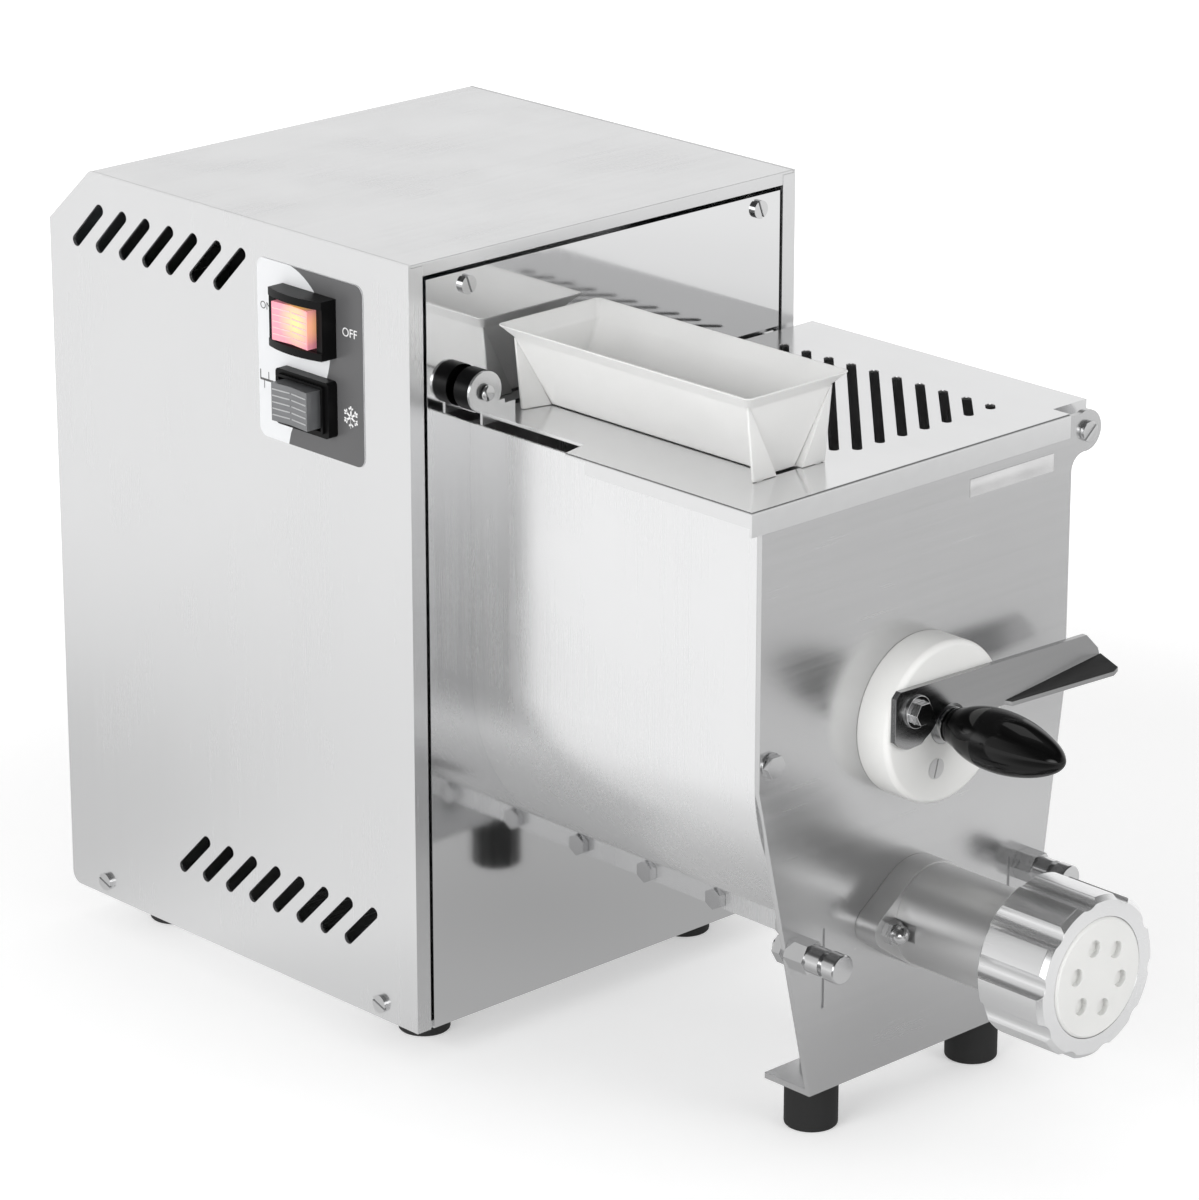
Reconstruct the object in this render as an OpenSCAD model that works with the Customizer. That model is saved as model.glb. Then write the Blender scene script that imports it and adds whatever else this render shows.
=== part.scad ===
// Countertop pasta machine with a bolted mixing trough, extruder and slotted lid.
// Millimetres, +Z up. The die faces -Y and the switches face -X.
// Working coordinates start at the left, front, floor corner of the housing;
// origin_x and origin_y then move the finished part over its own bottom centre.

/* [Housing] */
// Width of the housing over its side panels
housing_w = 250; // [235:1:280]
// Depth of the housing from front panel to back
housing_d = 264; // [250:1:300]
// Room between the motor and the housing top
top_room = 20.5; // [12:0.5:40]
// Height of the housing bottom above the floor
housing_lift = 19; // [15:1:22]
// Sheet thickness of the housing
sheet = 1.5; // [1:0.1:2.5]
// Depth of the bevel at the rear top edge
bevel_y = 32; // [20:1:45]
// Height of the bevel at the rear top edge
bevel_z = 29; // [20:1:40]
// Width of the front return flanges of the side panels
return_w = 8.5; // [6:0.5:12]
// Width of the gap round the front panel
panel_gap = 2; // [1:0.5:3]
// Depth of the bent edge of the front panel
panel_edge = 10; // [6:1:14]

/* [Vents] */
// Width of a side vent slot
vent_w = 6; // [4:0.5:7]
// Rise of a side vent slot, which runs at 45 degrees
vent_rise = 23.5; // [18:0.5:28]
// Spacing of the side vent slots
vent_pitch = 17.8; // [16:0.2:20]
// Number of slots in the upper row
vent_upper = 7; // [4:1:8]
// Number of slots in the lower row
vent_lower = 8; // [4:1:8]
// Drop of the lower ends of the upper row below the housing top
vent_drop = 39.5; // [36:0.5:58]
// Height of the lower ends of the lower row above the housing bottom
vent_lower_z = 31.5; // [25:0.5:45]

/* [Feet] */
// Diameter of the rubber feet
foot_d = 25.5; // [20:0.5:30]
// Distance of the housing feet from the panels
foot_inset = 36.5; // [30:0.5:50]
// Diameter of the foot studs
foot_stud_d = 6; // [5:0.5:8]

/* [Trough] */
// Distance from the left side panel to the middle of the trough
trough_x = 138; // [136:0.5:140]
// Outer half width of the trough
trough_r = 101; // [98:0.5:104]
// Height of the centre of the trough curve
trough_z = 191; // [188:0.5:196]
// Length of the trough between front panel and front plate
trough_l = 186.5; // [180:0.5:200]
// Height of the top edge of the trough walls
trough_top = 316; // [312:0.5:318]
// Sheet thickness of the trough
trough_t = 1.5; // [1:0.1:2]
// Height of the bottom flanges
keel_h = 12; // [11:0.5:14]
// Thickness of the keel bar between the bottom flanges
keel_t = 13; // [8:1:16]
// Number of keel bolts
keel_bolts_n = 4; // [3:1:5]

/* [Front plate] */
// Thickness of the front plate
plate_t = 3; // [2:0.5:4]
// Left edge of the front plate
plate_x0 = 37; // [34:0.5:37]
// Right edge of the front plate
plate_x1 = 241; // [240:0.5:243]
// Left end of the bottom edge
plate_foot_x0 = 72; // [60:1:78]
// Right end of the bottom edge
plate_foot_x1 = 220; // [219:1:226]
// Height at which the sides start to taper
plate_bend_z = 186; // [175:1:200]
// Height of the underside of the bottom flange
plate_z0 = 27; // [24:0.5:32]
// Depth of the bottom flange
plate_flange = 29; // [27:0.5:36]
// Width of the cutter guide slits
slit_w = 1.8; // [1.5:0.1:3]
// Height of the cutter guide slits
slit_h = 38; // [30:1:44]

/* [Lid] */
// Height of the lid top
lid_z = 320.3; // [320:0.1:323]
// Left edge of the lid
lid_x0 = 28.3; // [24:0.1:30]
// Overhang of the lid past the hinge axis
lid_past_hinge = 9.5; // [8:0.5:11]
// Set-back of the rear left part of the lid
lid_notch_w = 14.5; // [12:0.5:16]
// Length of the set-back
lid_notch_l = 70; // [55:1:80]
// Depth of the front lip
lip_front = 11.5; // [8:0.5:14]
// Depth of the left lip
lip_left = 7.5; // [5:0.5:9]
// Distance from the left side panel to the hinge axis
hinge_x = 251; // [250:0.5:252]
// Height of the hinge axis
hinge_z = 309; // [308:0.5:310]
// Radius of the hinge ears
ear_r = 10; // [8:0.5:10.5]
// Width of the lid slots
slot_w = 4.7; // [3:0.1:6]
// Spacing of the lid slots along the hinge
slot_pitch = 14.86; // [13:0.02:16]
// Number of lid slots
slot_n = 10; // [6:1:10]
// Distance of the slots from the hinge axis
slot_margin = 28.2; // [24:0.2:34]

/* [Tray] */
// Width of the tray foot
tray_w = 53.4; // [46:0.2:58]
// Length of the tray foot
tray_l = 152; // [130:1:154]
// Height of the tray above the lid
tray_h = 41.7; // [36:0.1:55]
// Wall of the tray
tray_t = 1.6; // [1.5:0.1:3]
// Inward lean of the outer edges of the tray legs
leg_lean = 4; // [0:0.5:8]
// Depth to which the end facets are set in at their foot
end_inset = 4; // [2:0.5:6]
// Outward flare of the tray lip
lip_flare = 5.8; // [3:0.1:6.5]
// Height of the tray lip
lip_h = 7; // [5:0.5:10]
// Width of the outlet at the tray bottom
tray_mouth = 12; // [8:0.5:18]

/* [Extruder] */
// Height of the extruder axis
extruder_z = 103; // [103:0.5:105]
// Outer diameter of the extruder tube
tube_d = 49; // [47:0.5:52]
// Bore of the extruder tube
tube_bore = 43; // [42:0.5:44]
// Thickness of the extruder flange
flange_t = 13; // [10:0.5:16]
// Half distance between the flange bolts
flange_bolt_x = 28.5; // [28:0.5:31]
// Radius of the flange ends
flange_end_r = 9; // [8:0.5:10]
// Distance from front plate to the tube end
tube_l = 95.5; // [90:0.5:105]
// Outer diameter of the ring nut
nut_d = 77; // [74:0.5:82]
// Length of the ring nut
nut_l = 40; // [36:0.5:46]
// Number of grip flutes on the ring nut
flutes = 10; // [8:1:16]
// Thread diameter under the ring nut
thread_d = 62; // [60:0.5:64]
// Visible diameter of the die plug
plug_d = 57; // [50:0.5:58]
// Diameter of the blind holes in the die plug
die_hole_d = 8; // [4:0.5:9]

/* [Front plug] */
// Height of the mixing shaft axis
mix_z = 199; // [198:0.5:200]
// Diameter of the white front bush
bush_d = 77.6; // [70:0.2:82]
// Thickness of the white front bush
bush_t = 19; // [15:0.5:22]
// Thickness of the locking lever
lever_t = 3; // [2:0.5:4]
// Length of the egg grip
grip_l = 67; // [60:1:80]
// Diameter of the egg grip
grip_d = 29; // [22:0.5:34]
// Thickness of the pin's collar behind the grip
collar_t = 1; // [0.8:0.1:4]

/* [Accessory studs] */
// Distance of each stud from the trough middle
stud_x = 76.7; // [72:0.1:80]
// Diameter of the stud shank
stud_d = 14; // [12:0.5:16]
// Length of the studs
stud_l = 30; // [24:0.5:36]

/* [Switches] */
// Width of the control label
label_w = 75; // [70:1:80]
// Height of the control label
label_h = 87.5; // [84:0.5:92]
// Distance of the label from the front of the housing
label_y = 31.5; // [24:0.5:34]
// Height of the top of the label below the housing top
label_drop = 16.3; // [12:0.1:20]
// Half width of the switch bodies
switch_half = 18.8; // [16:0.1:20]
// Depth of the hooded switch body in front of the panel
hood_depth = 9.5; // [6:0.5:10]
// Bulge of the hood plates past the switch body
hood_bulge = 3; // [2:0.5:4]
// Depth of the plain switch frame in front of the panel
frame_depth = 6; // [4:0.5:7]
// Reach of the power rocker in front of the panel
power_out = 12.8; // [12:0.1:14]
// Reach of the direction rocker in front of the panel
direction_out = 14; // [12:0.1:15]

/* [Drive] */
// Gear module of the slow pair
slow_module = 2; // [2:0.1:2]
// Gear module of the fast pair
fast_module = 1.5; // [1.5:0.1:1.5]
// Teeth of the mixing gear
mix_teeth = 54; // [54:2:54]
// Teeth of the pinions
pinion_teeth = 14; // [14:2:14]
// Teeth of the intermediate gear
idler_teeth = 56; // [56:2:56]
// Diameter of the motor body
motor_d = 116; // [100:1:118]
// Length of the motor body
motor_l = 120; // [100:1:130]
// Diameter of the mixing shaft
mix_shaft_d = 20; // [16:0.5:22]
// Reach of the mixing paddles from the shaft axis
paddle_r = 72; // [60:0.5:74]
// Diameter of the auger
auger_d = 42; // [38:0.5:42]
// Pitch of the auger
auger_pitch = 30; // [24:1:36]
// Diameter of the auger core
auger_core_d = 18; // [14:0.5:22]

/* [Fits] */
// Radial running clearance of shafts in bores
run_fit = 0.05; // [0.02:0.01:0.1]
// Clearance between plain neighbouring parts
gap = 0.3; // [0.2:0.05:0.5]
// Across-flats of the M6 hexagon heads
hex_af = 10; // [9:0.5:11]
// Diameter of the M6 shanks
bolt_d = 6; // [5:0.5:6]
// Diameter of the slotted screw heads
screw_head_d = 9; // [7:0.5:10]
// Height of the slotted screw heads
screw_head_h = 2; // [1.5:0.1:2.5]

/* [Hidden] */
$fn = 48;

// Faces along Y
plate_back = -trough_l;
plate_face = plate_back - plate_t;
lid_front = plate_face - 2.2;
lid_back = -screw_head_h - 2 * gap;
tube_end = plate_face - tube_l;
nut_back = tube_end + 21.5;
nut_front = nut_back - nut_l;
plug_back = tube_end - 0.2;
plug_shoulder = plug_back - 6;
plug_front = nut_front - 1;
bush_face = plate_face - bush_t;
lever_face = bush_face - lever_t;
grip_back = lever_face - 0.3 - collar_t;
grip_front = grip_back - grip_l;

// Trough curve and auger channel
auger_r = auger_d / 2;
channel_r = auger_r + 1 + trough_t;
channel_bottom = extruder_z - channel_r;
keel_top = channel_bottom + 1.2;
keel_z = keel_top - keel_h / 2 - 0.9;
keel_pitch = (trough_l - 45) / (keel_bolts_n - 1);

// Gear train, stacked upwards from the auger
auger_teeth = 2 * (mix_z - extruder_z) / slow_module - mix_teeth;
idler_z = mix_z + slow_module * (mix_teeth + pinion_teeth) / 2;
motor_z = idler_z + fast_module * (idler_teeth + pinion_teeth) / 2;
housing_h = motor_z + motor_d / 2 + top_room;
case_y0 = sheet + panel_edge + 2;
case_wall = 6;
slow_y = case_y0 + case_wall + 3;
slow_face = 16;
fast_y = slow_y + slow_face + 3;
fast_face = 12;
case_y1 = fast_y + fast_face + 3;
cover_t = 8;
motor_y = case_y1 + cover_t;
case_half = mix_teeth * slow_module / 2 + slow_module + 4 + case_wall;
riser_half = case_half - 14;
case_z0 = extruder_z - auger_teeth * slow_module / 2 - slow_module - 3 - case_wall;
case_z1 = motor_z + 24;

// Bounding box, so that the origin is its bottom centre
reach_left = -max(power_out, direction_out);
reach_right = hinge_x + lid_past_hinge;
gland_l = 16;
origin_x = (reach_left + reach_right) / 2;
origin_y = (plug_front + housing_d + gland_l) / 2;

bush_screw_r = 21.7;
sink_r = 5;
sink_h = 3;
lever_bolt_x = trough_x - 22.7;
lever_bolt_z = mix_z + 12;
pin_r = 8;
nose_r = 6;
lever_swing = 35;
switch_y = label_y + label_w / 2;
rocker_half = 12.6;
rocker_room = 14.9;
power_z = housing_h - 40;
direction_z = housing_h - 79;
label_top = housing_h - label_drop;
magnet_x = lid_x0 + lid_notch_w - 8.5;
magnet_z = lid_z + 14;
rear_foot_y = housing_d - foot_inset;
floor_z = housing_lift + sheet + 2;
front_foot_x = [95, 205];
front_foot_y = plate_face + 21;
stud_tip = plate_face - stud_l;

// ---- helpers ----
module at() {
    translate([-origin_x, -origin_y, 0]) children();
}
module ycyl(x, z, r, y0, y1) {
    translate([x, y1, z]) rotate([90, 0, 0]) cylinder(r = r, h = y1 - y0);
}
module xcyl(y, z, r, x0, x1) {
    translate([x0, y, z]) rotate([0, 90, 0]) cylinder(r = r, h = x1 - x0);
}
module zcyl(x, y, r, z0, z1) {
    translate([x, y, z0]) cylinder(r = r, h = z1 - z0);
}
module block(x0, x1, y0, y1, z0, z1) {
    translate([x0, y0, z0]) cube([x1 - x0, y1 - y0, z1 - z0]);
}
// Extrudes an (x, z) outline from y0 to y1
module yext(y0, y1) {
    translate([0, y1, 0]) rotate([90, 0, 0]) linear_extrude(y1 - y0) children();
}
// Extrudes a (y, z) outline from x0 to x1
module xext(x0, x1) {
    translate([x0, 0, 0]) rotate([90, 0, 90]) linear_extrude(x1 - x0) children();
}
// Turns an (r, y) outline round an axis parallel to Y
module yturn(x, z) {
    translate([x, 0, z]) rotate([-90, 0, 0]) rotate_extrude() children();
}
module slot2d(length, width) {
    translate([0, -width / 2]) square([length, width]);
    circle(d = width);
    translate([length, 0]) circle(d = width);
}
// Outline of two circles and the straight sides that touch both
module belt2d(big, small, distance) {
    nx = (big - small) / distance;
    ny = sqrt(1 - nx * nx);
    circle(r = big);
    translate([distance, 0]) circle(r = small);
    b = big - 0.02;
    s = small - 0.02;
    polygon([[b * nx, b * ny], [distance + s * nx, s * ny],
        [distance + s * nx, -s * ny], [b * nx, -b * ny]]);
}
module rounded2d(x0, x1, z0, z1, r) {
    translate([x0 + r, z0]) square([x1 - x0 - 2 * r, z1 - z0]);
    translate([x0, z0 + r]) square([x1 - x0, z1 - z0 - 2 * r]);
    for (x = [x0 + r, x1 - r], z = [z0 + r, z1 - r]) translate([x, z]) circle(r = r);
}
// Spur gear outline with a tooth centred on the phase angle
module gear2d(teeth, mod, phase) {
    pr = teeth * mod / 2;
    step = 360 / teeth;
    root = pr - 1.2 * mod;
    tip = pr + 0.85 * mod;
    circle(r = root, $fn = 96);
    for (i = [0:teeth - 1]) rotate(phase + i * step)
        polygon([[root - 0.6, -1.0 * mod], [pr, -0.62 * mod], [tip, -0.3 * mod],
            [tip, 0.3 * mod], [pr, 0.62 * mod], [root - 0.6, 1.0 * mod]]);
}
// Hexagon bolt along +Y from its head face, which points to -Y
module ybolt(x, z, y_seat, length) {
    ycyl(x, z, bolt_d / 2, y_seat, y_seat + length);
    translate([x, y_seat, z]) rotate([90, 0, 0]) cylinder(d = hex_af / cos(30), h = 4, $fn = 6);
    ycyl(x, z, hex_af / 2 + 1, y_seat - 0.8, y_seat);
}
// Round slotted screw head on a face that points to -Y
module yscrew(x, z, y_seat, length, turn) {
    difference() {
        union() {
            ycyl(x, z, screw_head_d / 2, y_seat - screw_head_h, y_seat);
            ycyl(x, z, 2, y_seat, y_seat + length);
        }
        translate([x, y_seat - screw_head_h, z]) rotate([0, turn, 0])
            cube([screw_head_d + 1, 2, 1.1], center = true);
    }
}

// ---- housing ----
module side_outline(margin) {
    difference() {
        polygon([[margin, housing_lift], [housing_d, housing_lift],
            [housing_d, housing_h - bevel_z], [housing_d - bevel_y, housing_h],
            [margin, housing_h]]);
        translate([housing_d, housing_lift]) difference() {
            square(12, center = true);
            translate([-6, 6]) circle(r = 6);
        }
    }
}
module vent_row(count, y_first, z_low) {
    for (i = [0:count - 1])
        translate([y_first - i * vent_pitch, z_low]) rotate(135)
            slot2d((vent_rise - vent_w / 2) * sqrt(2) - vent_w / 2, vent_w);
}
module side_panel() {
    difference() {
        union() {
            xext(0, sheet) side_outline(0);
            block(0, return_w, 0, sheet, housing_lift, housing_h - sheet);
            block(0, 12, sheet, housing_d - 8, housing_lift, housing_lift + sheet);
        }
        xext(-1, sheet + 1) {
            vent_row(vent_upper, housing_d - 21, housing_h - vent_drop + vent_w / 2);
            vent_row(vent_lower, housing_d - 90, housing_lift + vent_lower_z + vent_w / 2);
            for (y = [26, housing_d - 28]) translate([y, housing_lift + 8]) circle(d = 4.4);
        }
        for (y = [foot_inset, rear_foot_y])
            zcyl(foot_inset, y, foot_stud_d / 2 + 4, housing_lift - 1, housing_lift + 3);
    }
}
module left_side_panel() {
    color("silver") at() difference() {
        side_panel();
        for (z = [power_z, direction_z])
            block(-1, sheet + 1, switch_y - 15, switch_y + 15, z - 11, z + 11);
    }
}
module right_side_panel() {
    color("silver") at() translate([housing_w, 0, 0]) mirror([1, 0, 0]) side_panel();
}
module top_back_cover() {
    color("gainsboro") at() {
        x0 = sheet + 0.1;
        x1 = housing_w - x0;
        difference() {
            xext(x0, x1) polygon([[0, housing_h], [housing_d - bevel_y, housing_h],
                [housing_d, housing_h - bevel_z], [housing_d, housing_lift + 2 + 0.1],
                [housing_d - sheet, housing_lift + 2 + 0.1],
                [housing_d - sheet, housing_h - bevel_z - 0.6],
                [housing_d - bevel_y - 0.6, housing_h - sheet], [0, housing_h - sheet]]);
            ycyl(gland_x, gland_z, 6, housing_d - sheet - 1, housing_d + 1);
        }
        block(return_w, housing_w - return_w, 0, sheet, housing_h - 6.5, housing_h - sheet);
        for (x = [x0, x1 - sheet]) block(x, x + sheet, 30, housing_d - bevel_y - 8,
            housing_h - 14, housing_h - sheet);
    }
}
module front_panel() {
    x0 = return_w + panel_gap;
    x1 = housing_w - x0;
    z1 = housing_h - 6.5 - panel_gap;
    color("gainsboro") at() difference() {
        union() {
            block(x0, x1, 0, sheet, housing_lift, z1);
            for (x = [x0, x1 - sheet])
                block(x, x + sheet, sheet, sheet + panel_edge, floor_z + 0.2, z1);
            block(x0, x1, sheet, sheet + panel_edge, z1 - sheet, z1);
        }
        ycyl(trough_x, mix_z, mix_shaft_d / 2 + 6, -1, sheet + 1);
        ycyl(trough_x, extruder_z, auger_core_d / 2 + 6, -1, sheet + 1);
        for (x = [panel_screw_x, housing_w - panel_screw_x + 10])
            ycyl(x, panel_screw_z, 2.1, -1, sheet + 1);
    }
}
panel_screw_x = 35.3;
panel_screw_z = housing_h - 15.2;
module panel_screws() {
    color("lightgray") at() {
        for (x = [panel_screw_x, housing_w - panel_screw_x + 10])
            yscrew(x, panel_screw_z, 0, 8, 70);
        for (side = [0, 1], y = [26, housing_d - 28])
            translate([side * housing_w, y, housing_lift + 8]) rotate([0, 0, side ? 90 : -90])
                yscrew(0, 0, 0, 5, 20);
    }
}
module base_plate() {
    color("gray") at() difference() {
        union() {
            block(sheet + 0.1, housing_w - sheet - 0.1, sheet, housing_d - sheet,
                housing_lift + sheet, floor_z);
            block(trough_x - riser_half, trough_x + riser_half, case_y0, case_y1 + cover_t,
                floor_z, case_z0);
        }
        for (x = [foot_inset, housing_w - foot_inset], y = [foot_inset, rear_foot_y])
            zcyl(x, y, foot_stud_d / 2 + 0.1, housing_lift - 1, housing_lift + 6);
        block(trough_x - riser_half + 8, trough_x + riser_half - 8, case_y0 - 1,
            case_y1 + cover_t + 1, housing_lift + 8, case_z0 - 6);
    }
}
module foot(x, y, top) {
    zcyl(x, y, foot_d / 2, 0, top);
    zcyl(x, y, foot_stud_d / 2, top, top + 14);
}
module housing_feet() {
    color("black") at()
        for (x = [foot_inset, housing_w - foot_inset], y = [foot_inset, rear_foot_y])
            foot(x, y, housing_lift + sheet);
}
module foot_nut(x, y, z) {
    difference() {
        translate([x, y, z]) cylinder(d = hex_af / cos(30), h = 5, $fn = 6);
        zcyl(x, y, foot_stud_d / 2 + 0.02, z - 1, z + 6);
    }
}
module foot_nuts() {
    color("silver") at() {
        for (x = [foot_inset, housing_w - foot_inset], y = [foot_inset, rear_foot_y])
            foot_nut(x, y, floor_z);
        for (x = front_foot_x) foot_nut(x, front_foot_y, plate_z0 + plate_t);
    }
}

// ---- switches and wiring ----
module control_label() {
    color("lightgray") at() difference() {
        xext(-0.4, 0) rounded2d(label_y, label_y + label_w, label_top - label_h, label_top, 5);
        for (z = [power_z, direction_z])
            block(-1, 1, switch_y - 15, switch_y + 15, z - 11, z + 11);
    }
}
module hood_plate(z) {
    arc_r = (pow(switch_half, 2) + pow(hood_bulge, 2)) / (2 * hood_bulge);
    translate([0, 0, z - 1.9]) linear_extrude(3.8) intersection() {
        translate([arc_r - hood_depth - hood_bulge, switch_y]) circle(r = arc_r, $fn = 96);
        translate([-hood_depth - 5, switch_y - switch_half])
            square([hood_depth + 4.6, 2 * switch_half]);
    }
}
module switch_body(z, half_h, depth, hood) {
    difference() {
        union() {
            xext(-depth, -0.4) rounded2d(switch_y - switch_half, switch_y + switch_half,
                z - half_h, z + half_h, 2);
            if (hood) for (s = [-1, 1]) hood_plate(z + s * (half_h - 1.9));
            if (!hood) xext(-depth - 1.6, -depth) rounded2d(switch_y - rocker_room - 1.4,
                switch_y + rocker_room + 1.4, z - 11.6, z + 11.6, 1.4);
            block(-0.4, 22, switch_y - 14.7, switch_y + 14.7, z - 10.7, z + 10.7);
        }
        block(-20, -0.1, switch_y - rocker_room, switch_y + rocker_room, z - 10.2, z + 10.2);
        block(-20, 8, switch_y - 13.6, switch_y + 13.6, z - 9.6, z + 9.6);
    }
    zcyl(2, switch_y, 1.4, z - 9.7, z + 9.7);
    for (y = [switch_y - 9, switch_y, switch_y + 9]) block(22, 30, y - 3, y + 3, z - 0.4, z + 0.4);
}
module power_switch_body() {
    color([0.08, 0.08, 0.09]) at() switch_body(power_z, 14.2, hood_depth - 0.4, true);
}
module direction_switch_body() {
    color([0.08, 0.08, 0.09]) at() switch_body(direction_z, 13.6, frame_depth, false);
}
// Rocker with a slightly hollow face, pivoting on a pin parallel to Z
module rocker(z, half_h, out) {
    difference() {
        translate([0, 0, z - half_h]) linear_extrude(2 * half_h) polygon([
            [-out, switch_y + rocker_half], [1.2 - out, switch_y],
            [-out, switch_y - rocker_half], [-1.4, switch_y - rocker_half],
            [1, switch_y - 5], [6, switch_y - 2.6], [6, switch_y + 2.6],
            [1, switch_y + 5], [-1.4, switch_y + rocker_half]]);
        zcyl(2, switch_y, 1.45, z - half_h - 1, z + half_h + 1);
    }
}
module power_rocker() {
    color([1, 0.45, 0.25]) at() rocker(power_z, 9.3, power_out);
}
module direction_rocker() {
    color([0.55, 0.56, 0.58]) at() rocker(direction_z, 9.3, direction_out);
}
gland_x = housing_w - 60;
gland_z = housing_lift + 40;
module cable_gland() {
    color([0.1, 0.1, 0.1]) at() difference() {
        union() {
            translate([gland_x, housing_d + 6, gland_z]) rotate([90, 0, 0])
                cylinder(d = 22, h = 6, $fn = 6);
            ycyl(gland_x, gland_z, 8.5, housing_d + 6, housing_d + gland_l);
            ycyl(gland_x, gland_z, 6, housing_d - sheet, housing_d);
            ycyl(gland_x, gland_z, 10, housing_d - sheet - 5, housing_d - sheet);
        }
        ycyl(gland_x, gland_z, 4, housing_d - sheet - 6, housing_d + gland_l + 1);
    }
}
terminal_x = gland_x - 45;
module terminal_block() {
    color("ivory") at() difference() {
        block(terminal_x - 26, terminal_x + 26, housing_d - 44, housing_d - 26,
            floor_z, floor_z + 16);
        for (i = [-2:2]) {
            zcyl(terminal_x + i * 10, housing_d - 35, 2.5, floor_z + 8, floor_z + 17);
            ycyl(terminal_x + i * 10, floor_z + 6, 2, housing_d - 45, housing_d - 25);
        }
    }
}

// ---- drive ----
cap_r = 18;
module motor_capacitor() {
    color([0.15, 0.15, 0.16]) at() {
        ycyl(trough_x + motor_d / 2 + cap_r, motor_z, cap_r, motor_y + 20, motor_y + 90);
        ycyl(trough_x + motor_d / 2 + cap_r, motor_z, 5, motor_y + 90, motor_y + 96);
    }
}
module case_outline(shrink) {
    rounded2d(trough_x - case_half + shrink, trough_x + case_half - shrink,
        case_z0 + shrink, case_z1 - shrink, 10);
}
module gearbox_case() {
    color("dimgray") at() difference() {
        yext(case_y0, case_y1) case_outline(0);
        yext(case_y0 + case_wall, case_y1 + 1) case_outline(case_wall);
        for (s = [[mix_z, 14], [extruder_z, 13]])
            ycyl(trough_x, s[0], s[1], case_y0 - 1, case_y0 + case_wall + 1);
    }
}
module gearbox_cover() {
    color("slategray") at() difference() {
        yext(case_y1, motor_y) case_outline(0);
        for (z = [mix_z, extruder_z, idler_z]) ycyl(trough_x, z, 12, case_y1 - 1, case_y1 + 6);
        ycyl(trough_x, motor_z, 13, case_y1 - 1, motor_y + 1);
    }
}
module bearing_ring(z, bore, outer, y0, y1) {
    difference() {
        ycyl(trough_x, z, outer, y0, y1);
        ycyl(trough_x, z, bore + run_fit, y0 - 1, y1 + 1);
    }
}
module shaft_bearings() {
    color("silver") at() {
        bearing_ring(mix_z, mix_shaft_d / 2, 14, case_y0, case_y0 + case_wall);
        bearing_ring(extruder_z, auger_core_d / 2, 13, case_y0, case_y0 + case_wall);
        for (z = [mix_z, extruder_z, idler_z]) bearing_ring(z, 6, 12, case_y1, case_y1 + 6);
        bearing_ring(idler_z, 6, 12, case_y0 + case_wall, case_y0 + case_wall + 2);
        bearing_ring(motor_z, 7, 13, case_y1, motor_y);
    }
}
module shaft_seals() {
    color([0.12, 0.12, 0.12]) at() {
        bearing_ring(mix_z, mix_shaft_d / 2, mix_shaft_d / 2 + 6, -2, case_y0);
        bearing_ring(extruder_z, auger_core_d / 2, auger_core_d / 2 + 6, -2, case_y0);
    }
}
module motor_body() {
    color("steelblue") at() difference() {
        union() {
            ycyl(trough_x, motor_z, motor_d / 2 - 3, motor_y + 8, motor_y + 8 + motor_l);
            yext(motor_y + 12, motor_y + 4 + motor_l) for (i = [0:19])
                translate([trough_x, motor_z]) rotate(i * 18)
                    translate([motor_d / 2 - 5, -1]) square([5, 2]);
        }
        ycyl(trough_x, motor_z, 34, motor_y + 7, motor_y + 9 + motor_l);
    }
}
module shield(y0) {
    difference() {
        ycyl(trough_x, motor_z, motor_d / 2 - 3, y0, y0 + 8);
        ycyl(trough_x, motor_z, 7 + run_fit, y0 - 1, y0 + 9);
    }
}
module motor_end_shield() {
    color("lightsteelblue") at() {
        shield(motor_y);
        shield(motor_y + 8 + motor_l);
    }
}
fan_y = motor_y + 16 + motor_l;
module fan_cowl() {
    color([0.2, 0.2, 0.22]) at() difference() {
        ycyl(trough_x, motor_z, motor_d / 2, fan_y, fan_y + 26);
        ycyl(trough_x, motor_z, motor_d / 2 - 2, fan_y - 1, fan_y + 24);
        for (r = [14:9:50], a = [0:30:330])
            translate([trough_x, fan_y + 27, motor_z]) rotate([0, a, 0])
                translate([r, 0, 0]) rotate([90, 0, 0]) cylinder(r = 2.6, h = 5);
    }
}
module motor_fan() {
    color([0.15, 0.15, 0.15]) at() difference() {
        union() {
            ycyl(trough_x, motor_z, 12, fan_y + 2, fan_y + 18);
            yext(fan_y + 2, fan_y + 18) translate([trough_x, motor_z])
                for (a = [0:45:315]) rotate(a) translate([10, -1]) square([38, 2]);
        }
        ycyl(trough_x, motor_z, 6, fan_y, fan_y + 20);
    }
}
module rotor_shaft() {
    color("gray") at() {
        ycyl(trough_x, motor_z, 7, case_y1, motor_y + 8 + motor_l + 8);
        ycyl(trough_x, motor_z, 6, fast_y, case_y1);
        ycyl(trough_x, motor_z, 6, motor_y + 16 + motor_l, fan_y + 18);
        ycyl(trough_x, motor_z, 33, motor_y + 14, motor_y + 2 + motor_l);
    }
}
module bored_gear(z, teeth, mod, phase, bore, y0, y1) {
    yext(y0, y1) difference() {
        translate([trough_x, z]) gear2d(teeth, mod, phase);
        translate([trough_x, z]) circle(r = bore);
    }
}
module rotor_pinion() {
    color("goldenrod") at()
        bored_gear(motor_z, pinion_teeth, fast_module, -90 + 180 / pinion_teeth, 6,
            fast_y, fast_y + fast_face);
}
module idler_shaft() {
    color("gray") at() ycyl(trough_x, idler_z, 6, case_y0 + case_wall, case_y1 + 6);
}
module idler_gear() {
    color("goldenrod") at()
        bored_gear(idler_z, idler_teeth, fast_module, 90, 6, fast_y, fast_y + fast_face);
}
module idler_pinion() {
    color("peru") at()
        bored_gear(idler_z, pinion_teeth, slow_module, -90 + 180 / pinion_teeth, 6,
            slow_y, slow_y + slow_face);
}
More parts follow.
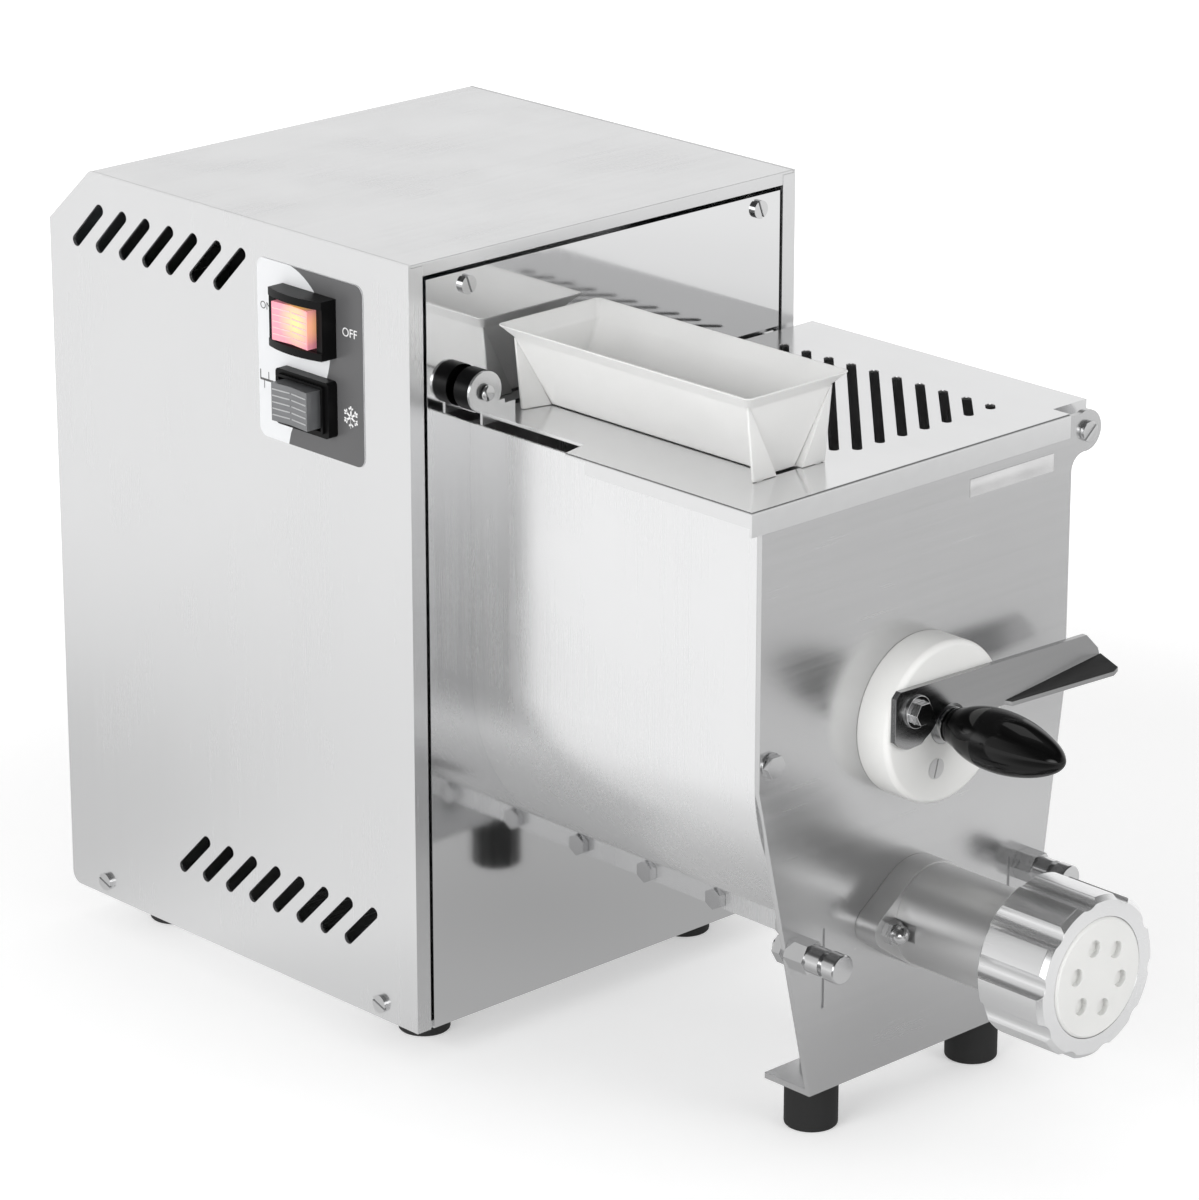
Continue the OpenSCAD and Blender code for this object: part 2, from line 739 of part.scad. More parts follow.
module mixing_gear() {
    color("goldenrod") at()
        bored_gear(mix_z, mix_teeth, slow_module, 90, mix_shaft_d / 2,
            slow_y, slow_y + slow_face);
}
module auger_gear() {
    color("peru") at()
        bored_gear(extruder_z, auger_teeth, slow_module, 90 + 180 / auger_teeth,
            auger_core_d / 2, slow_y, slow_y + slow_face);
}

// ---- trough ----
module trough_section(shrink) {
    translate([trough_x, trough_z]) rotate(-90)
        belt2d(trough_r - shrink, channel_r - shrink, trough_z - extruder_z);
    translate([trough_x - trough_r + shrink, trough_z])
        square([2 * (trough_r - shrink), trough_top - trough_z + shrink]);
}
module trough_half() {
    intersection() {
        yext(plate_back, 0) difference() {
            trough_section(0);
            trough_section(trough_t);
            translate([trough_x - 200, trough_top]) square([400, 50]);
        }
        block(trough_x - 150, trough_x, plate_back, 0, keel_top - 1, trough_top);
    }
    difference() {
        block(trough_x - keel_t / 2 - trough_t, trough_x - keel_t / 2, plate_back, 0,
            keel_top - keel_h, keel_shelf);
        for (i = [0:keel_bolts_n - 1])
            xcyl(-24 - i * keel_pitch, keel_z, bolt_d / 2 + 0.02, trough_x - 30, trough_x + 1);
    }
    difference() {
        block(trough_x - trough_r + trough_t / 2, trough_x - trough_r + trough_t + 14, plate_back,
            plate_back + trough_t, mix_z - 14, mix_z + 14);
        ycyl(plate_bolt_x, mix_z - 1, bolt_d / 2 + 0.02, plate_back - 1, plate_back + 3);
    }
}
keel_shelf = extruder_z + 0.4 - sqrt(pow(channel_r, 2) - pow(keel_t / 2 + trough_t, 2));
plate_bolt_x = 44;
module trough_left_half() {
    color("whitesmoke") at() trough_half();
}
module trough_right_half() {
    color("gainsboro") at() translate([2 * trough_x, 0, 0]) mirror([1, 0, 0]) trough_half();
}
module trough_back_plate() {
    color("lightgray") at() yext(-2, 0) difference() {
        intersection() {
            trough_section(trough_t);
            translate([0, 0]) square([400, trough_top]);
        }
        translate([trough_x, mix_z]) circle(r = mix_shaft_d / 2 + 6);
        translate([trough_x, extruder_z]) circle(r = auger_core_d / 2 + 6);
    }
}
module keel_bar() {
    color("gray") at() difference() {
        yext(plate_back, 0) difference() {
            translate([trough_x - keel_t / 2, keel_top - keel_h]) square([keel_t, 20]);
            translate([trough_x, extruder_z]) circle(r = channel_r);
        }
        for (i = [0:keel_bolts_n - 1])
            xcyl(-24 - i * keel_pitch, keel_z, bolt_d / 2 + 0.02, trough_x - 30, trough_x + 30);
        block(trough_x - 50, trough_x + 50, plate_back - 1, 1, extruder_z - 10, extruder_z + 30);
    }
}
module keel_bolts() {
    head = trough_x - keel_t / 2 - trough_t;
    tail = trough_x + keel_t / 2 + trough_t;
    color("silver") at() for (i = [0:keel_bolts_n - 1]) {
        y = -24 - i * keel_pitch;
        xcyl(y, keel_z, bolt_d / 2, head, tail + 7);
        translate([head - 4, y, keel_z]) rotate([0, 90, 0])
            cylinder(d = hex_af / cos(30), h = 4, $fn = 6);
        translate([tail, y, keel_z]) rotate([0, 90, 0])
            cylinder(d = hex_af / cos(30), h = 5, $fn = 6);
    }
}

// ---- mixing and auger ----
journal_y = plate_back + 2;
paddle_n = 5;
paddle_step = (trough_l - 60) / (paddle_n - 1);
module mixing_shaft() {
    color("silver") at() difference() {
        union() {
            ycyl(trough_x, mix_z, mix_shaft_d / 2, journal_y, slow_y + slow_face);
            ycyl(trough_x, mix_z, 6, slow_y + slow_face, case_y1 + 6);
        }
        ycyl(trough_x, mix_z, nose_r + run_fit, journal_y - 1, journal_y + 15);
        for (i = [0:paddle_n - 1]) translate([trough_x, -28 - i * paddle_step, mix_z])
            rotate([0, i * 72 + 18, 0]) cylinder(d = 8, h = 60, center = true);
    }
}
module mixing_paddles() {
    color("lightgray") at() for (i = [0:paddle_n - 1])
        translate([trough_x, -28 - i * paddle_step, mix_z]) rotate([0, i * 72 + 18, 0]) {
            cylinder(d = 8, h = paddle_r - 5);
            rotate([180, 0, 0]) cylinder(d = 8, h = mix_shaft_d / 2);
            translate([0, 0, paddle_r - 12]) rotate([0, 0, 35])
                translate([-13, -1.5, 0]) cube([26, 3, 10]);
        }
}
auger_tip = tube_end + 4;
flight_t = 3;
module auger_shaft() {
    color("silver") at() {
        ycyl(trough_x, extruder_z, auger_core_d / 2, auger_tip, slow_y + slow_face);
        ycyl(trough_x, extruder_z, 6, slow_y + slow_face, case_y1 + 6);
    }
}
// Screw flight as a ring of four points carried along the helix
module auger_flight() {
    steps = 24;
    inner = auger_core_d / 2 / cos(180 / steps) + 0.01;
    count = floor((-5 - flight_t - auger_tip) / auger_pitch * steps);
    ring = [[inner, 0], [auger_r, 0], [auger_r, flight_t], [inner, flight_t]];
    points = [for (i = [0:count], q = ring) [q[0] * cos(i * 360 / steps),
        -4 - flight_t - i * auger_pitch / steps + q[1], q[0] * sin(i * 360 / steps)]];
    sides = [for (i = [0:count - 1], j = [0:3]) each [
        [4 * i + j, 4 * i + (j + 1) % 4, 4 * i + 4 + (j + 1) % 4],
        [4 * i + j, 4 * i + 4 + (j + 1) % 4, 4 * i + 4 + j]]];
    last = 4 * count;
    color("lightgray") at() translate([trough_x, 0, extruder_z])
        polyhedron(points, concat(sides, [[3, 2, 1, 0],
            [last, last + 1, last + 2, last + 3]]));
}

// ---- front plate and its fittings ----
module plate_outline() {
    z_top = lid_z - sheet - 0.5;
    difference() {
        union() {
            polygon([[plate_foot_x0, plate_z0 + plate_t], [plate_foot_x1, plate_z0 + plate_t],
                [plate_x1, plate_bend_z], [plate_x1, z_top], [plate_x0, z_top],
                [plate_x0, plate_bend_z]]);
            translate([hinge_x, hinge_z]) circle(r = ear_r);
            translate([plate_x1 - 5, hinge_z - 4]) square([hinge_x - plate_x1 + 5, 13]);
            difference() {
                translate([plate_x1 - 1, hinge_z - 18]) square([9, 14]);
                translate([plate_x1 + 8, hinge_z - 18]) circle(r = 8);
            }
        }
        translate([hinge_x, hinge_z]) circle(r = 3.05);
        for (x = [left_slit_x, right_slit_x]) translate([x, slit_top])
            rotate(-90) slot2d(slit_h, slit_w);
        translate([trough_x, extruder_z]) circle(d = tube_bore);
        translate([trough_x, mix_z]) circle(r = bush_spigot_r + 0.1);
        for (s = [-1, 1]) {
            translate([trough_x + s * flange_bolt_x, extruder_z]) circle(r = bolt_d / 2 + 0.05);
            translate([trough_x + s * stud_x, extruder_z]) circle(r = 4.02);
            translate([trough_x + s * (trough_x - plate_bolt_x), mix_z - 1])
                circle(r = bolt_d / 2 + 0.05);
        }
    }
}
left_slit_x = 79.6;
right_slit_x = 204.8;
slit_top = extruder_z + 5;
bush_spigot_r = 16;
sleeve_r = 10;
module front_plate() {
    color("lightgray") at() {
        yext(plate_face, plate_back) plate_outline();
        difference() {
            block(plate_foot_x0, plate_foot_x1, plate_face, plate_face + plate_flange,
                plate_z0, plate_z0 + plate_t);
            for (x = front_foot_x)
                zcyl(x, front_foot_y, foot_stud_d / 2 + 0.1, plate_z0 - 1, plate_z0 + 5);
        }
    }
}
module plate_bolts() {
    color("silver") at() for (s = [-1, 1])
        ybolt(trough_x + s * (trough_x - plate_bolt_x), mix_z - 1, plate_face, plate_t + 8);
}
module front_feet() {
    color([0.1, 0.1, 0.1]) at() for (x = front_foot_x) foot(x, front_foot_y, plate_z0);
}
module front_bush() {
    r = bush_d / 2;
    color("white") at() difference() {
        union() {
            yturn(trough_x, mix_z) difference() {
                translate([0, bush_face]) square([r, bush_t]);
                translate([r - 3, bush_face]) difference() {
                    translate([0, -1]) square([4, 4]);
                    translate([0, 3]) circle(r = 3);
                }
            }
            ycyl(trough_x, mix_z, bush_spigot_r, plate_face, plate_back);
        }
        ycyl(trough_x, mix_z, sleeve_r, bush_face - 1, plate_back + 1);
        ycyl(lever_bolt_x, lever_bolt_z, bolt_d / 2, bush_face - 1, bush_face + 12);
        for (a = [15, 135, 255]) translate([trough_x, bush_face, mix_z]) rotate([0, -a, 0])
            translate([bush_screw_r, 0, 0]) rotate([-90, 0, 0]) {
                translate([0, 0, -sink_h]) cylinder(r1 = 2 * sink_r - 2.2, r2 = 2.2, h = 2 * sink_h);
                cylinder(r = 2.2, h = 12);
            }
    }
}
module bush_sleeve() {
    color("peru") at() difference() {
        ycyl(trough_x, mix_z, sleeve_r, bush_face, plate_back);
        ycyl(trough_x, mix_z, pin_r + run_fit, bush_face - 1, plate_back + 1);
    }
}
module bush_screws() {
    color("whitesmoke") at() for (a = [15, 135, 255])
        translate([trough_x, bush_face, mix_z]) rotate([0, -a, 0])
            translate([bush_screw_r, 0, 0]) rotate([-90, 0, 0]) difference() {
                union() {
                    cylinder(r1 = sink_r, r2 = 2.2, h = sink_h);
                    cylinder(r = 2.2, h = 12);
                }
                translate([0, 0, 0.4]) cube([12, 1.1, 1.2], center = true);
            }
}
// Lever outline from its left lobe to its tapered end, notched round the pin
module lever_outline() {
    difference() {
        union() {
            polygon([[lever_bolt_x - 14, lever_bolt_z - 12], [lever_bolt_x - 14, lever_bolt_z + 9],
                [lever_bolt_x - 11, lever_bolt_z + 12], [lever_bolt_x + 115, lever_bolt_z + 8],
                [lever_bolt_x + 123, lever_bolt_z], [lever_bolt_x + 125, lever_bolt_z - 5.5],
                [lever_bolt_x + 59, lever_bolt_z - 12], [lever_bolt_x + 14, lever_bolt_z - 12],
                [lever_bolt_x + 9, lever_bolt_z - 14.4], [lever_bolt_x + 3, lever_bolt_z - 16.7],
                [lever_bolt_x - 4, lever_bolt_z - 17]]);
            translate([lever_bolt_x - 4, lever_bolt_z - 7]) circle(r = 10);
        }
        translate([lever_bolt_x, lever_bolt_z]) circle(r = bolt_d / 2 + run_fit);
        for (a = [0:5:lever_swing]) translate([lever_bolt_x, lever_bolt_z]) rotate(-a)
            translate([trough_x - lever_bolt_x, mix_z - lever_bolt_z]) circle(r = pin_r + 2);
    }
}
module lock_lever() {
    color("silver") at() {
        yext(lever_face, bush_face) lever_outline();
        polyhedron(points = [
            [lever_bolt_x + 59, lever_face, lever_bolt_z - 12],
            [lever_bolt_x + 125, lever_face, lever_bolt_z - 5.5],
            [lever_bolt_x + 125, lever_face - 11, lever_bolt_z - 9.5],
            [lever_bolt_x + 121, lever_face - 12, lever_bolt_z - 10.5],
            [lever_bolt_x + 62, lever_face - 2, lever_bolt_z - 13],
            [lever_bolt_x + 59, lever_face, lever_bolt_z - 9.8],
            [lever_bolt_x + 125, lever_face, lever_bolt_z - 3.3],
            [lever_bolt_x + 125, lever_face - 11, lever_bolt_z - 7.3],
            [lever_bolt_x + 121, lever_face - 12, lever_bolt_z - 8.3],
            [lever_bolt_x + 62, lever_face - 2, lever_bolt_z - 10.8]],
            faces = [[4, 3, 2, 1, 0], [5, 6, 7, 8, 9], [0, 1, 6, 5], [1, 2, 7, 6],
                [2, 3, 8, 7], [3, 4, 9, 8], [4, 0, 5, 9]]);
    }
}
module lever_bolt() {
    color("gainsboro") at() {
        ycyl(lever_bolt_x, lever_bolt_z, bolt_d / 2, lever_face, bush_face + 12);
        ycyl(lever_bolt_x, lever_bolt_z, 7.8, lever_face - 1.2, lever_face);
        translate([lever_bolt_x, lever_face - 1.2, lever_bolt_z]) rotate([90, 0, 0])
            cylinder(d = hex_af / cos(30), h = 4, $fn = 6);
    }
}
module lock_pin() {
    color("silver") at() {
        ycyl(trough_x, mix_z, nose_r, journal_y - 2, journal_y + 13);
        ycyl(trough_x, mix_z, pin_r, lever_face - 0.3, journal_y - 2);
        ycyl(trough_x, mix_z, 8.6, grip_back, lever_face - 0.3);
        ycyl(trough_x, mix_z, 4, grip_front + 20, grip_back);
    }
}
// Egg grip profile by a smooth radius law along its length
function egg_r(t) = grip_d / 2 * sqrt(sin(180 * pow(t, 0.8)));
module handle_grip() {
    color([0.03, 0.03, 0.03]) at() yturn(trough_x, mix_z) difference() {
        polygon(concat([[0, grip_back]],
            [[8, grip_back]],
            [for (t = [0.1:0.06:0.94]) [egg_r(t), grip_back - t * grip_l]],
            [[egg_r(0.97), grip_back - 0.97 * grip_l], [3.4, grip_front + 0.5], [0, grip_front]]));
        translate([0, grip_front + 20]) square([4, grip_l]);
    }
}
module accessory_studs() {
    color("gainsboro") at() for (s = [-1, 1]) {
        x = trough_x + s * stud_x;
        translate([x, plate_face, extruder_z]) rotate([90, 0, 0])
            cylinder(d = stud_d / cos(30), h = 11.5, $fn = 6);
        yturn(x, extruder_z) polygon([[0, stud_tip], [stud_d / 2 - 0.6, stud_tip],
            [stud_d / 2, stud_tip + 0.6], [stud_d / 2, plate_face - 23],
            [stud_d / 2 - 1.8, plate_face - 23], [stud_d / 2 - 1.8, plate_face - 20],
            [stud_d / 2 - 0.4, plate_face - 20], [stud_d / 2 - 0.4, plate_face - 11.5],
            [0, plate_face - 11.5]]);
        ycyl(x, extruder_z, 4, plate_face, plate_back + 8);
        difference() {
            translate([x, plate_back + 5, extruder_z]) rotate([90, 0, 0])
                cylinder(d = 13 / cos(30), h = 5, $fn = 6);
            ycyl(x, extruder_z, 4, plate_back - 1, plate_back + 6);
        }
    }
}

// ---- extruder ----
module extruder_barrel() {
    color("silver") at() difference() {
        union() {
            yext(plate_face - flange_t, plate_face) translate([trough_x, extruder_z])
                for (a = [0, 180]) rotate(a)
                    belt2d(tube_d / 2 + 1, flange_end_r, flange_bolt_x);
            yturn(trough_x, extruder_z) polygon([[0, tube_end],
                [thread_d / 2 - 1.5, tube_end], [thread_d / 2, tube_end + 1.5],
                [thread_d / 2, nut_back - 1], [tube_d / 2 + 1, nut_back + 1.5],
                [tube_d / 2, nut_back + 3], [tube_d / 2, plate_face - flange_t],
                [0, plate_face - flange_t]]);
        }
        ycyl(trough_x, extruder_z, tube_bore / 2, tube_end - 1, plate_face + 1);
        for (s = [-1, 1]) {
            ycyl(trough_x + s * flange_bolt_x, extruder_z, bolt_d / 2 + 0.05,
                plate_face - flange_t - 1, plate_face + 1);
            ycyl(trough_x + s * flange_bolt_x, extruder_z, 6.2,
                plate_face - flange_t - 12, plate_face - flange_t);
        }
    }
}
module dome_nuts() {
    color("gainsboro") at() for (s = [-1, 1]) {
        x = trough_x + s * flange_bolt_x;
        seat = plate_face - flange_t;
        ycyl(x, extruder_z, bolt_d / 2, seat, plate_back);
        translate([x, seat, extruder_z]) rotate([90, 0, 0])
            cylinder(d = hex_af / cos(30), h = 5, $fn = 6);
        yturn(x, extruder_z) intersection() {
            translate([0, seat - 6.5]) circle(r = 4.7);
            translate([0, seat - 12]) square([6, 7]);
        }
    }
}
module ring_nut() {
    r = nut_d / 2;
    color("lightgray") at() difference() {
        yturn(trough_x, extruder_z) polygon([[plug_d / 2 + 0.2, nut_front],
            [r - 2.2, nut_front], [r, nut_front + 2.2], [r, nut_back - 3],
            [r - 3, nut_back], [thread_d / 2 + run_fit, nut_back],
            [thread_d / 2 + run_fit, plug_shoulder - 0.2],
            [plug_d / 2 + 0.2, plug_shoulder - 0.2]]);
        for (i = [0:flutes - 1]) translate([trough_x, 0, extruder_z])
            rotate([0, -28 - i * 360 / flutes, 0])
                ycyl(r + 3.6, 0, 7, nut_front - 1, nut_back + 1);
    }
}
module die_plug() {
    color("white") at() difference() {
        yturn(trough_x, extruder_z) polygon([[0, plug_front], [plug_d / 2 - 1.2, plug_front],
            [plug_d / 2, plug_front + 1.2], [plug_d / 2, plug_shoulder],
            [thread_d / 2 - 0.8, plug_shoulder], [thread_d / 2 - 0.8, plug_back],
            [0, plug_back]]);
        for (a = [17:60:317]) translate([trough_x, 0, extruder_z]) rotate([0, a, 0])
            ycyl(15.5, 0, die_hole_d / 2, plug_front - 1, plug_front + 3);
    }
}

// ---- lid and tray ----
hinge_tab_y = plate_back + 6;
rear_tab_y = lid_back - sheet;
module ear_tab(y0) {
    yext(y0, y0 + sheet) difference() {
        union() {
            translate([hinge_x, hinge_z]) circle(r = ear_r - 0.5);
            translate([hinge_x - 11, hinge_z]) square([11 + lid_past_hinge, lid_z - hinge_z - 0.1]);
        }
        translate([hinge_x, hinge_z]) circle(r = 3 + run_fit);
    }
}
module lid_slots() {
    for (i = [0:slot_n - 1]) {
        x0 = hinge_x - slot_margin - slot_w / 2;
        y0 = -20.2 - slot_w / 2 - i * slot_pitch;
        run = min(y0 + trough_l - 25 - slot_w / 2, x0 - tray_x1 - 6);
        translate([x0, y0]) rotate(225) slot2d(run * sqrt(2), slot_w);
    }
}
tray_cx = 81.5;
tray_cy = -86.5;
tray_x1 = tray_cx + tray_w / 2 + 6;
peg_x = tray_w / 2 - leg_lean - 4;
module lid() {
    x1 = hinge_x + lid_past_hinge;
    notch_x = lid_x0 + lid_notch_w;
    color("gainsboro") at() {
        translate([0, 0, lid_z - sheet]) linear_extrude(sheet) difference() {
            polygon([[lid_x0, lid_front], [hinge_x - 14, lid_front],
                [hinge_x - 14, hinge_tab_y], [x1, hinge_tab_y], [x1, lid_back],
                [notch_x, lid_back], [notch_x, -lid_notch_l], [lid_x0, -lid_notch_l - 3]]);
            lid_slots();
            for (s = [-1, 1], t = [-1, 1])
                translate([tray_cx + s * peg_x, tray_cy + t * (tray_l / 2 - 1)])
                    square([5, 2.4], center = true);
            translate([tray_cx, tray_cy]) square([tray_mouth + 4, tray_l - 3], center = true);
        }
        block(lid_x0, hinge_x - 14, lid_front, lid_front + sheet,
            lid_z - lip_front, lid_z - sheet);
        block(lid_x0, lid_x0 + sheet, lid_front + sheet, -lid_notch_l - 16,
            lid_z - lip_left, lid_z - sheet);
        ear_tab(hinge_tab_y);
        ear_tab(rear_tab_y);
        difference() {
            yext(-13.5, -12) {
                translate([magnet_x, magnet_z]) circle(r = 10);
                translate([notch_x, lid_z - sheet]) square([10, 8]);
                translate([magnet_x - 2, lid_z - sheet]) square([14, 10]);
            }
            ycyl(magnet_x, magnet_z, 2.1, -20, -10);
        }
    }
}
module hinge_screws() {
    color("gainsboro") at() {
        difference() {
            union() {
                ycyl(hinge_x, hinge_z, 5, plate_face - 2.4, plate_face);
                ycyl(hinge_x, hinge_z, 3, plate_face, hinge_tab_y + 8);
            }
            translate([hinge_x, plate_face - 2.4, hinge_z]) rotate([0, -40, 0])
                cube([12, 2, 1.3], center = true);
        }
        ycyl(hinge_x, hinge_z, 3, -8, 0);
    }
}
module interlock_magnet() {
    color([0.06, 0.06, 0.06]) at() difference() {
        union() {
            ycyl(magnet_x, magnet_z, 10, -12, lid_back);
            ycyl(magnet_x, magnet_z, 3.6, -15.5, -13.5);
            ycyl(magnet_x, magnet_z, 2, -13.5, -12);
        }
        translate([magnet_x, -15.5, magnet_z]) cube([8, 1.4, 1], center = true);
    }
}
module lid_sensor() {
    color([0.2, 0.2, 0.22]) at()
        block(magnet_x - 8, magnet_x + 8, sheet, sheet + 9, magnet_z - 12, magnet_z + 12);
}
module frustum(w0, l0, z0, w1, l1, z1) {
    hull() {
        translate([-w0 / 2, -l0 / 2, z0]) cube([w0, l0, 0.01]);
        translate([-w1 / 2, -l1 / 2, z1 - 0.01]) cube([w1, l1, 0.01]);
    }
}
module tray() {
    z_lip = tray_h - lip_h;
    t2 = 2 * tray_t;
    color("white") at() translate([tray_cx, tray_cy, lid_z + 0.2]) {
        difference() {
            union() {
                frustum(tray_w, tray_l, z_lip, tray_w + 2 * lip_flare, tray_l + 2 * lip_flare,
                    tray_h);
                frustum(tray_mouth + t2, tray_l, 2.5, tray_w, tray_l, z_lip + 0.01);
                for (s = [-1, 1]) scale([1, s, 1]) {
                    yext(tray_l / 2 - tray_t, tray_l / 2) polygon([
                        [-tray_w / 2 + leg_lean, 0], [tray_w / 2 - leg_lean, 0],
                        [tray_w / 2, z_lip + 0.5], [-tray_w / 2, z_lip + 0.5]]);
                    for (t = [-1, 1]) translate([t * peg_x - 2, tray_l / 2 - 1.5, -4])
                        cube([4, 1.3, 5]);
                }
            }
            frustum(tray_w - t2, tray_l - t2, z_lip, tray_w + 2 * lip_flare - t2,
                tray_l + 2 * lip_flare - t2, tray_h + 0.05);
            frustum(tray_mouth, tray_l - t2 - 2 * end_inset, 0, tray_w - t2, tray_l - t2,
                z_lip + 0.02);
            for (s = [-1, 1]) translate([0, s * tray_l / 2, 0])
                frustum(tray_mouth + 1, 2 * end_inset, -0.1, tray_w - t2, 0.02, z_lip);
            translate([-8, -tray_l / 2 - 1, -1]) cube([16, tray_l + 2, 3]);
        }
    }
}

base_plate();
left_side_panel();
right_side_panel();
top_back_cover();
front_panel();
panel_screws();
housing_feet();
foot_nuts();
control_label();
power_switch_body();
power_rocker();
direction_switch_body();
direction_rocker();
cable_gland();
terminal_block();
motor_capacitor();
gearbox_case();
gearbox_cover();
motor_body();
motor_end_shield();
fan_cowl();
motor_fan();
rotor_shaft();
rotor_pinion();
idler_shaft();
idler_gear();
idler_pinion();
mixing_gear();
auger_gear();
shaft_bearings();
shaft_seals();
trough_left_half();
trough_right_half();
trough_back_plate();
keel_bar();
keel_bolts();
mixing_shaft();
mixing_paddles();
auger_shaft();
auger_flight();
front_plate();
plate_bolts();
front_feet();
front_bush();
bush_sleeve();
bush_screws();
lock_lever();
lever_bolt();
lock_pin();
handle_grip();
accessory_studs();
extruder_barrel();
dome_nuts();
ring_nut();
die_plug();
lid();
hinge_screws();
interlock_magnet();
lid_sensor();
tray();
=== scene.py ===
"""Finishes and studio view of a countertop pasta machine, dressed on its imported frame."""

import logging
import math
from dataclasses import dataclass, field
from enum import Enum
from typing import Callable, Sequence

import bmesh
import bpy
from mathutils import Matrix, Vector


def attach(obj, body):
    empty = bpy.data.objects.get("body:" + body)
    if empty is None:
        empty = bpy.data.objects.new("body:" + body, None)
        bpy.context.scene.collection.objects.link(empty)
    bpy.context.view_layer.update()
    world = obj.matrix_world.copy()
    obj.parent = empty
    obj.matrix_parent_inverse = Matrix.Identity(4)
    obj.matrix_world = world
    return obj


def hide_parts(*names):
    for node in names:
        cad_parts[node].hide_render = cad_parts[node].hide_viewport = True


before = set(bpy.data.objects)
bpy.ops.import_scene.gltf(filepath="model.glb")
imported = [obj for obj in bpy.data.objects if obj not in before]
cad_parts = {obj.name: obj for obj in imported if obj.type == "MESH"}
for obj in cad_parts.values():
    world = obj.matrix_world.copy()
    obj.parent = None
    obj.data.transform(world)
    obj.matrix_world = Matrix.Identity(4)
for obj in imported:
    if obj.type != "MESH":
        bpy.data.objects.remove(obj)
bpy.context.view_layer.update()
LOG = logging.getLogger("pasta_machine")
MM = 0.001
HOUSING_CORNER = Vector((-0.12325, 0.01225, 0.0))
BREAK_ANGLE = 32.0  # degrees, smallest angle of an edge that is broken
BEND_RADIUS = 1.2  # millimetres, outer radius of a folded sheet

BMesh = bmesh.types.BMesh
Socket = bpy.types.NodeSocket
Pair = tuple[float, float]
Triple = tuple[float, float, float]


def place(x: float, y: float, z: float) -> Vector:
    """Turn a point measured from the housing's front left floor corner into the frame.

    Args:
        x: Distance to the right of the left side panel, in millimetres.
        y: Distance behind the front panel, in millimetres.
        z: Height above the worktop, in millimetres.

    Returns:
        The point in metres.
    """
    return HOUSING_CORNER + Vector((x, y, z)) * MM


class Grain(Enum):
    """Direction in which a steel surface was brushed."""

    ALONG_X = (14.0, 2400.0, 2400.0)
    ALONG_Y = (2400.0, 14.0, 2400.0)
    ALONG_Z = (2400.0, 2400.0, 14.0)
    TURNED = (60.0, 2400.0, 60.0)


# ---- node wiring


class Wiring:
    """Adds nodes to one node tree and joins them."""

    def __init__(self, tree: bpy.types.NodeTree) -> None:
        """Take the tree to work on."""
        self.tree = tree

    def feed(self, node: bpy.types.Node, values: dict) -> None:
        """Set or link several inputs of a node.

        Args:
            node: The node.
            values: A plain value or an output socket for each input's name or number.
        """
        for key, value in values.items():
            if isinstance(value, Socket):
                self.tree.links.new(value, node.inputs[key])
            else:
                node.inputs[key].default_value = value

    def node(self, kind: str, values: dict | None = None, **settings: object) -> bpy.types.Node:
        """Add a node.

        Args:
            kind: Its type.
            values: What goes into its inputs, as in feed.
            settings: Its plain properties.

        Returns:
            The node.
        """
        made = self.tree.nodes.new(kind)
        for key, value in settings.items():
            setattr(made, key, value)
        self.feed(made, values or {})
        return made

    def maths(self, operation: str, *values: object) -> Socket:
        """Return the result of a calculation with sockets and numbers."""
        return self.node("ShaderNodeMath", dict(enumerate(values)), operation=operation).outputs[0]

    def either(self, mask: Socket, start: Socket, end: Socket) -> Socket:
        """Return the first shader where a mask is 0 and the second where it is 1."""
        return self.node("ShaderNodeMixShader", {0: mask, 1: start, 2: end}).outputs[0]

    def mixed(self, share: Socket, start: Socket, end: Socket) -> Socket:
        """Return a mix of two colours by a share."""
        values = {"Factor": share, 6: start, 7: end}
        return self.node("ShaderNodeMix", values, data_type="RGBA").outputs[2]

    def distance(self, point: Socket, centre: object, reach: object) -> Socket:
        """Return the distance of a point from a centre, as a share of a reach."""
        away = self.node("ShaderNodeVectorMath", {0: point, 1: centre}, operation="DISTANCE")
        return self.maths("DIVIDE", away.outputs["Value"], reach)

    def ranged(self, value: Socket, low: object, high: object, start: float = 0.3,
               end: float = 0.7) -> Socket:
        """Map a value from one range to another.

        Args:
            value: The value's socket.
            low: Result at the start, as a socket or a number.
            high: Result at the end, as a socket or a number.
            start: Value that gives the low result.
            end: Value that gives the high result.

        Returns:
            The result's socket.
        """
        fit = self.node("ShaderNodeMapRange", {"Value": value, "From Min": start, "From Max": end,
                                               "To Min": low, "To Max": high})
        return fit.outputs["Result"]

    def object_noise(self, scale: Socket | Triple, detail: float, roughness: float = 0.5) -> Socket:
        """Add noise on object coordinates.

        Args:
            scale: A vector socket, or three numbers that stretch the pattern.
            detail: Octaves of the noise.
            roughness: How strong the small octaves are.

        Returns:
            The noise's factor socket.
        """
        coords = self.node("ShaderNodeTexCoord").outputs["Object"]
        stretch = self.node("ShaderNodeMapping", {"Vector": coords, "Scale": scale})
        noise = self.node("ShaderNodeTexNoise", {
            "Vector": stretch.outputs["Vector"], "Scale": 1.0, "Detail": detail,
            "Roughness": roughness})
        return noise.outputs["Fac"]


class GroupBuilder(Wiring):
    """Builds one shader node group."""

    def __init__(self, name: str, inputs: Sequence[tuple], outputs: Sequence[tuple]) -> None:
        """Start a group.

        Args:
            name: Name of the group.
            inputs: Socket name, socket type and default value of each input.
            outputs: Socket name and socket type of each output.
        """
        super().__init__(bpy.data.node_groups.new(name, "ShaderNodeTree"))
        for socket_name, kind, default in inputs:
            socket = self.tree.interface.new_socket(socket_name, in_out="INPUT", socket_type=kind)
            socket.default_value = default
        for socket_name, kind in outputs:
            self.tree.interface.new_socket(socket_name, in_out="OUTPUT", socket_type=kind)
        self.given = self.node("NodeGroupInput").outputs
        self.sink = self.node("NodeGroupOutput")


# ---- node groups


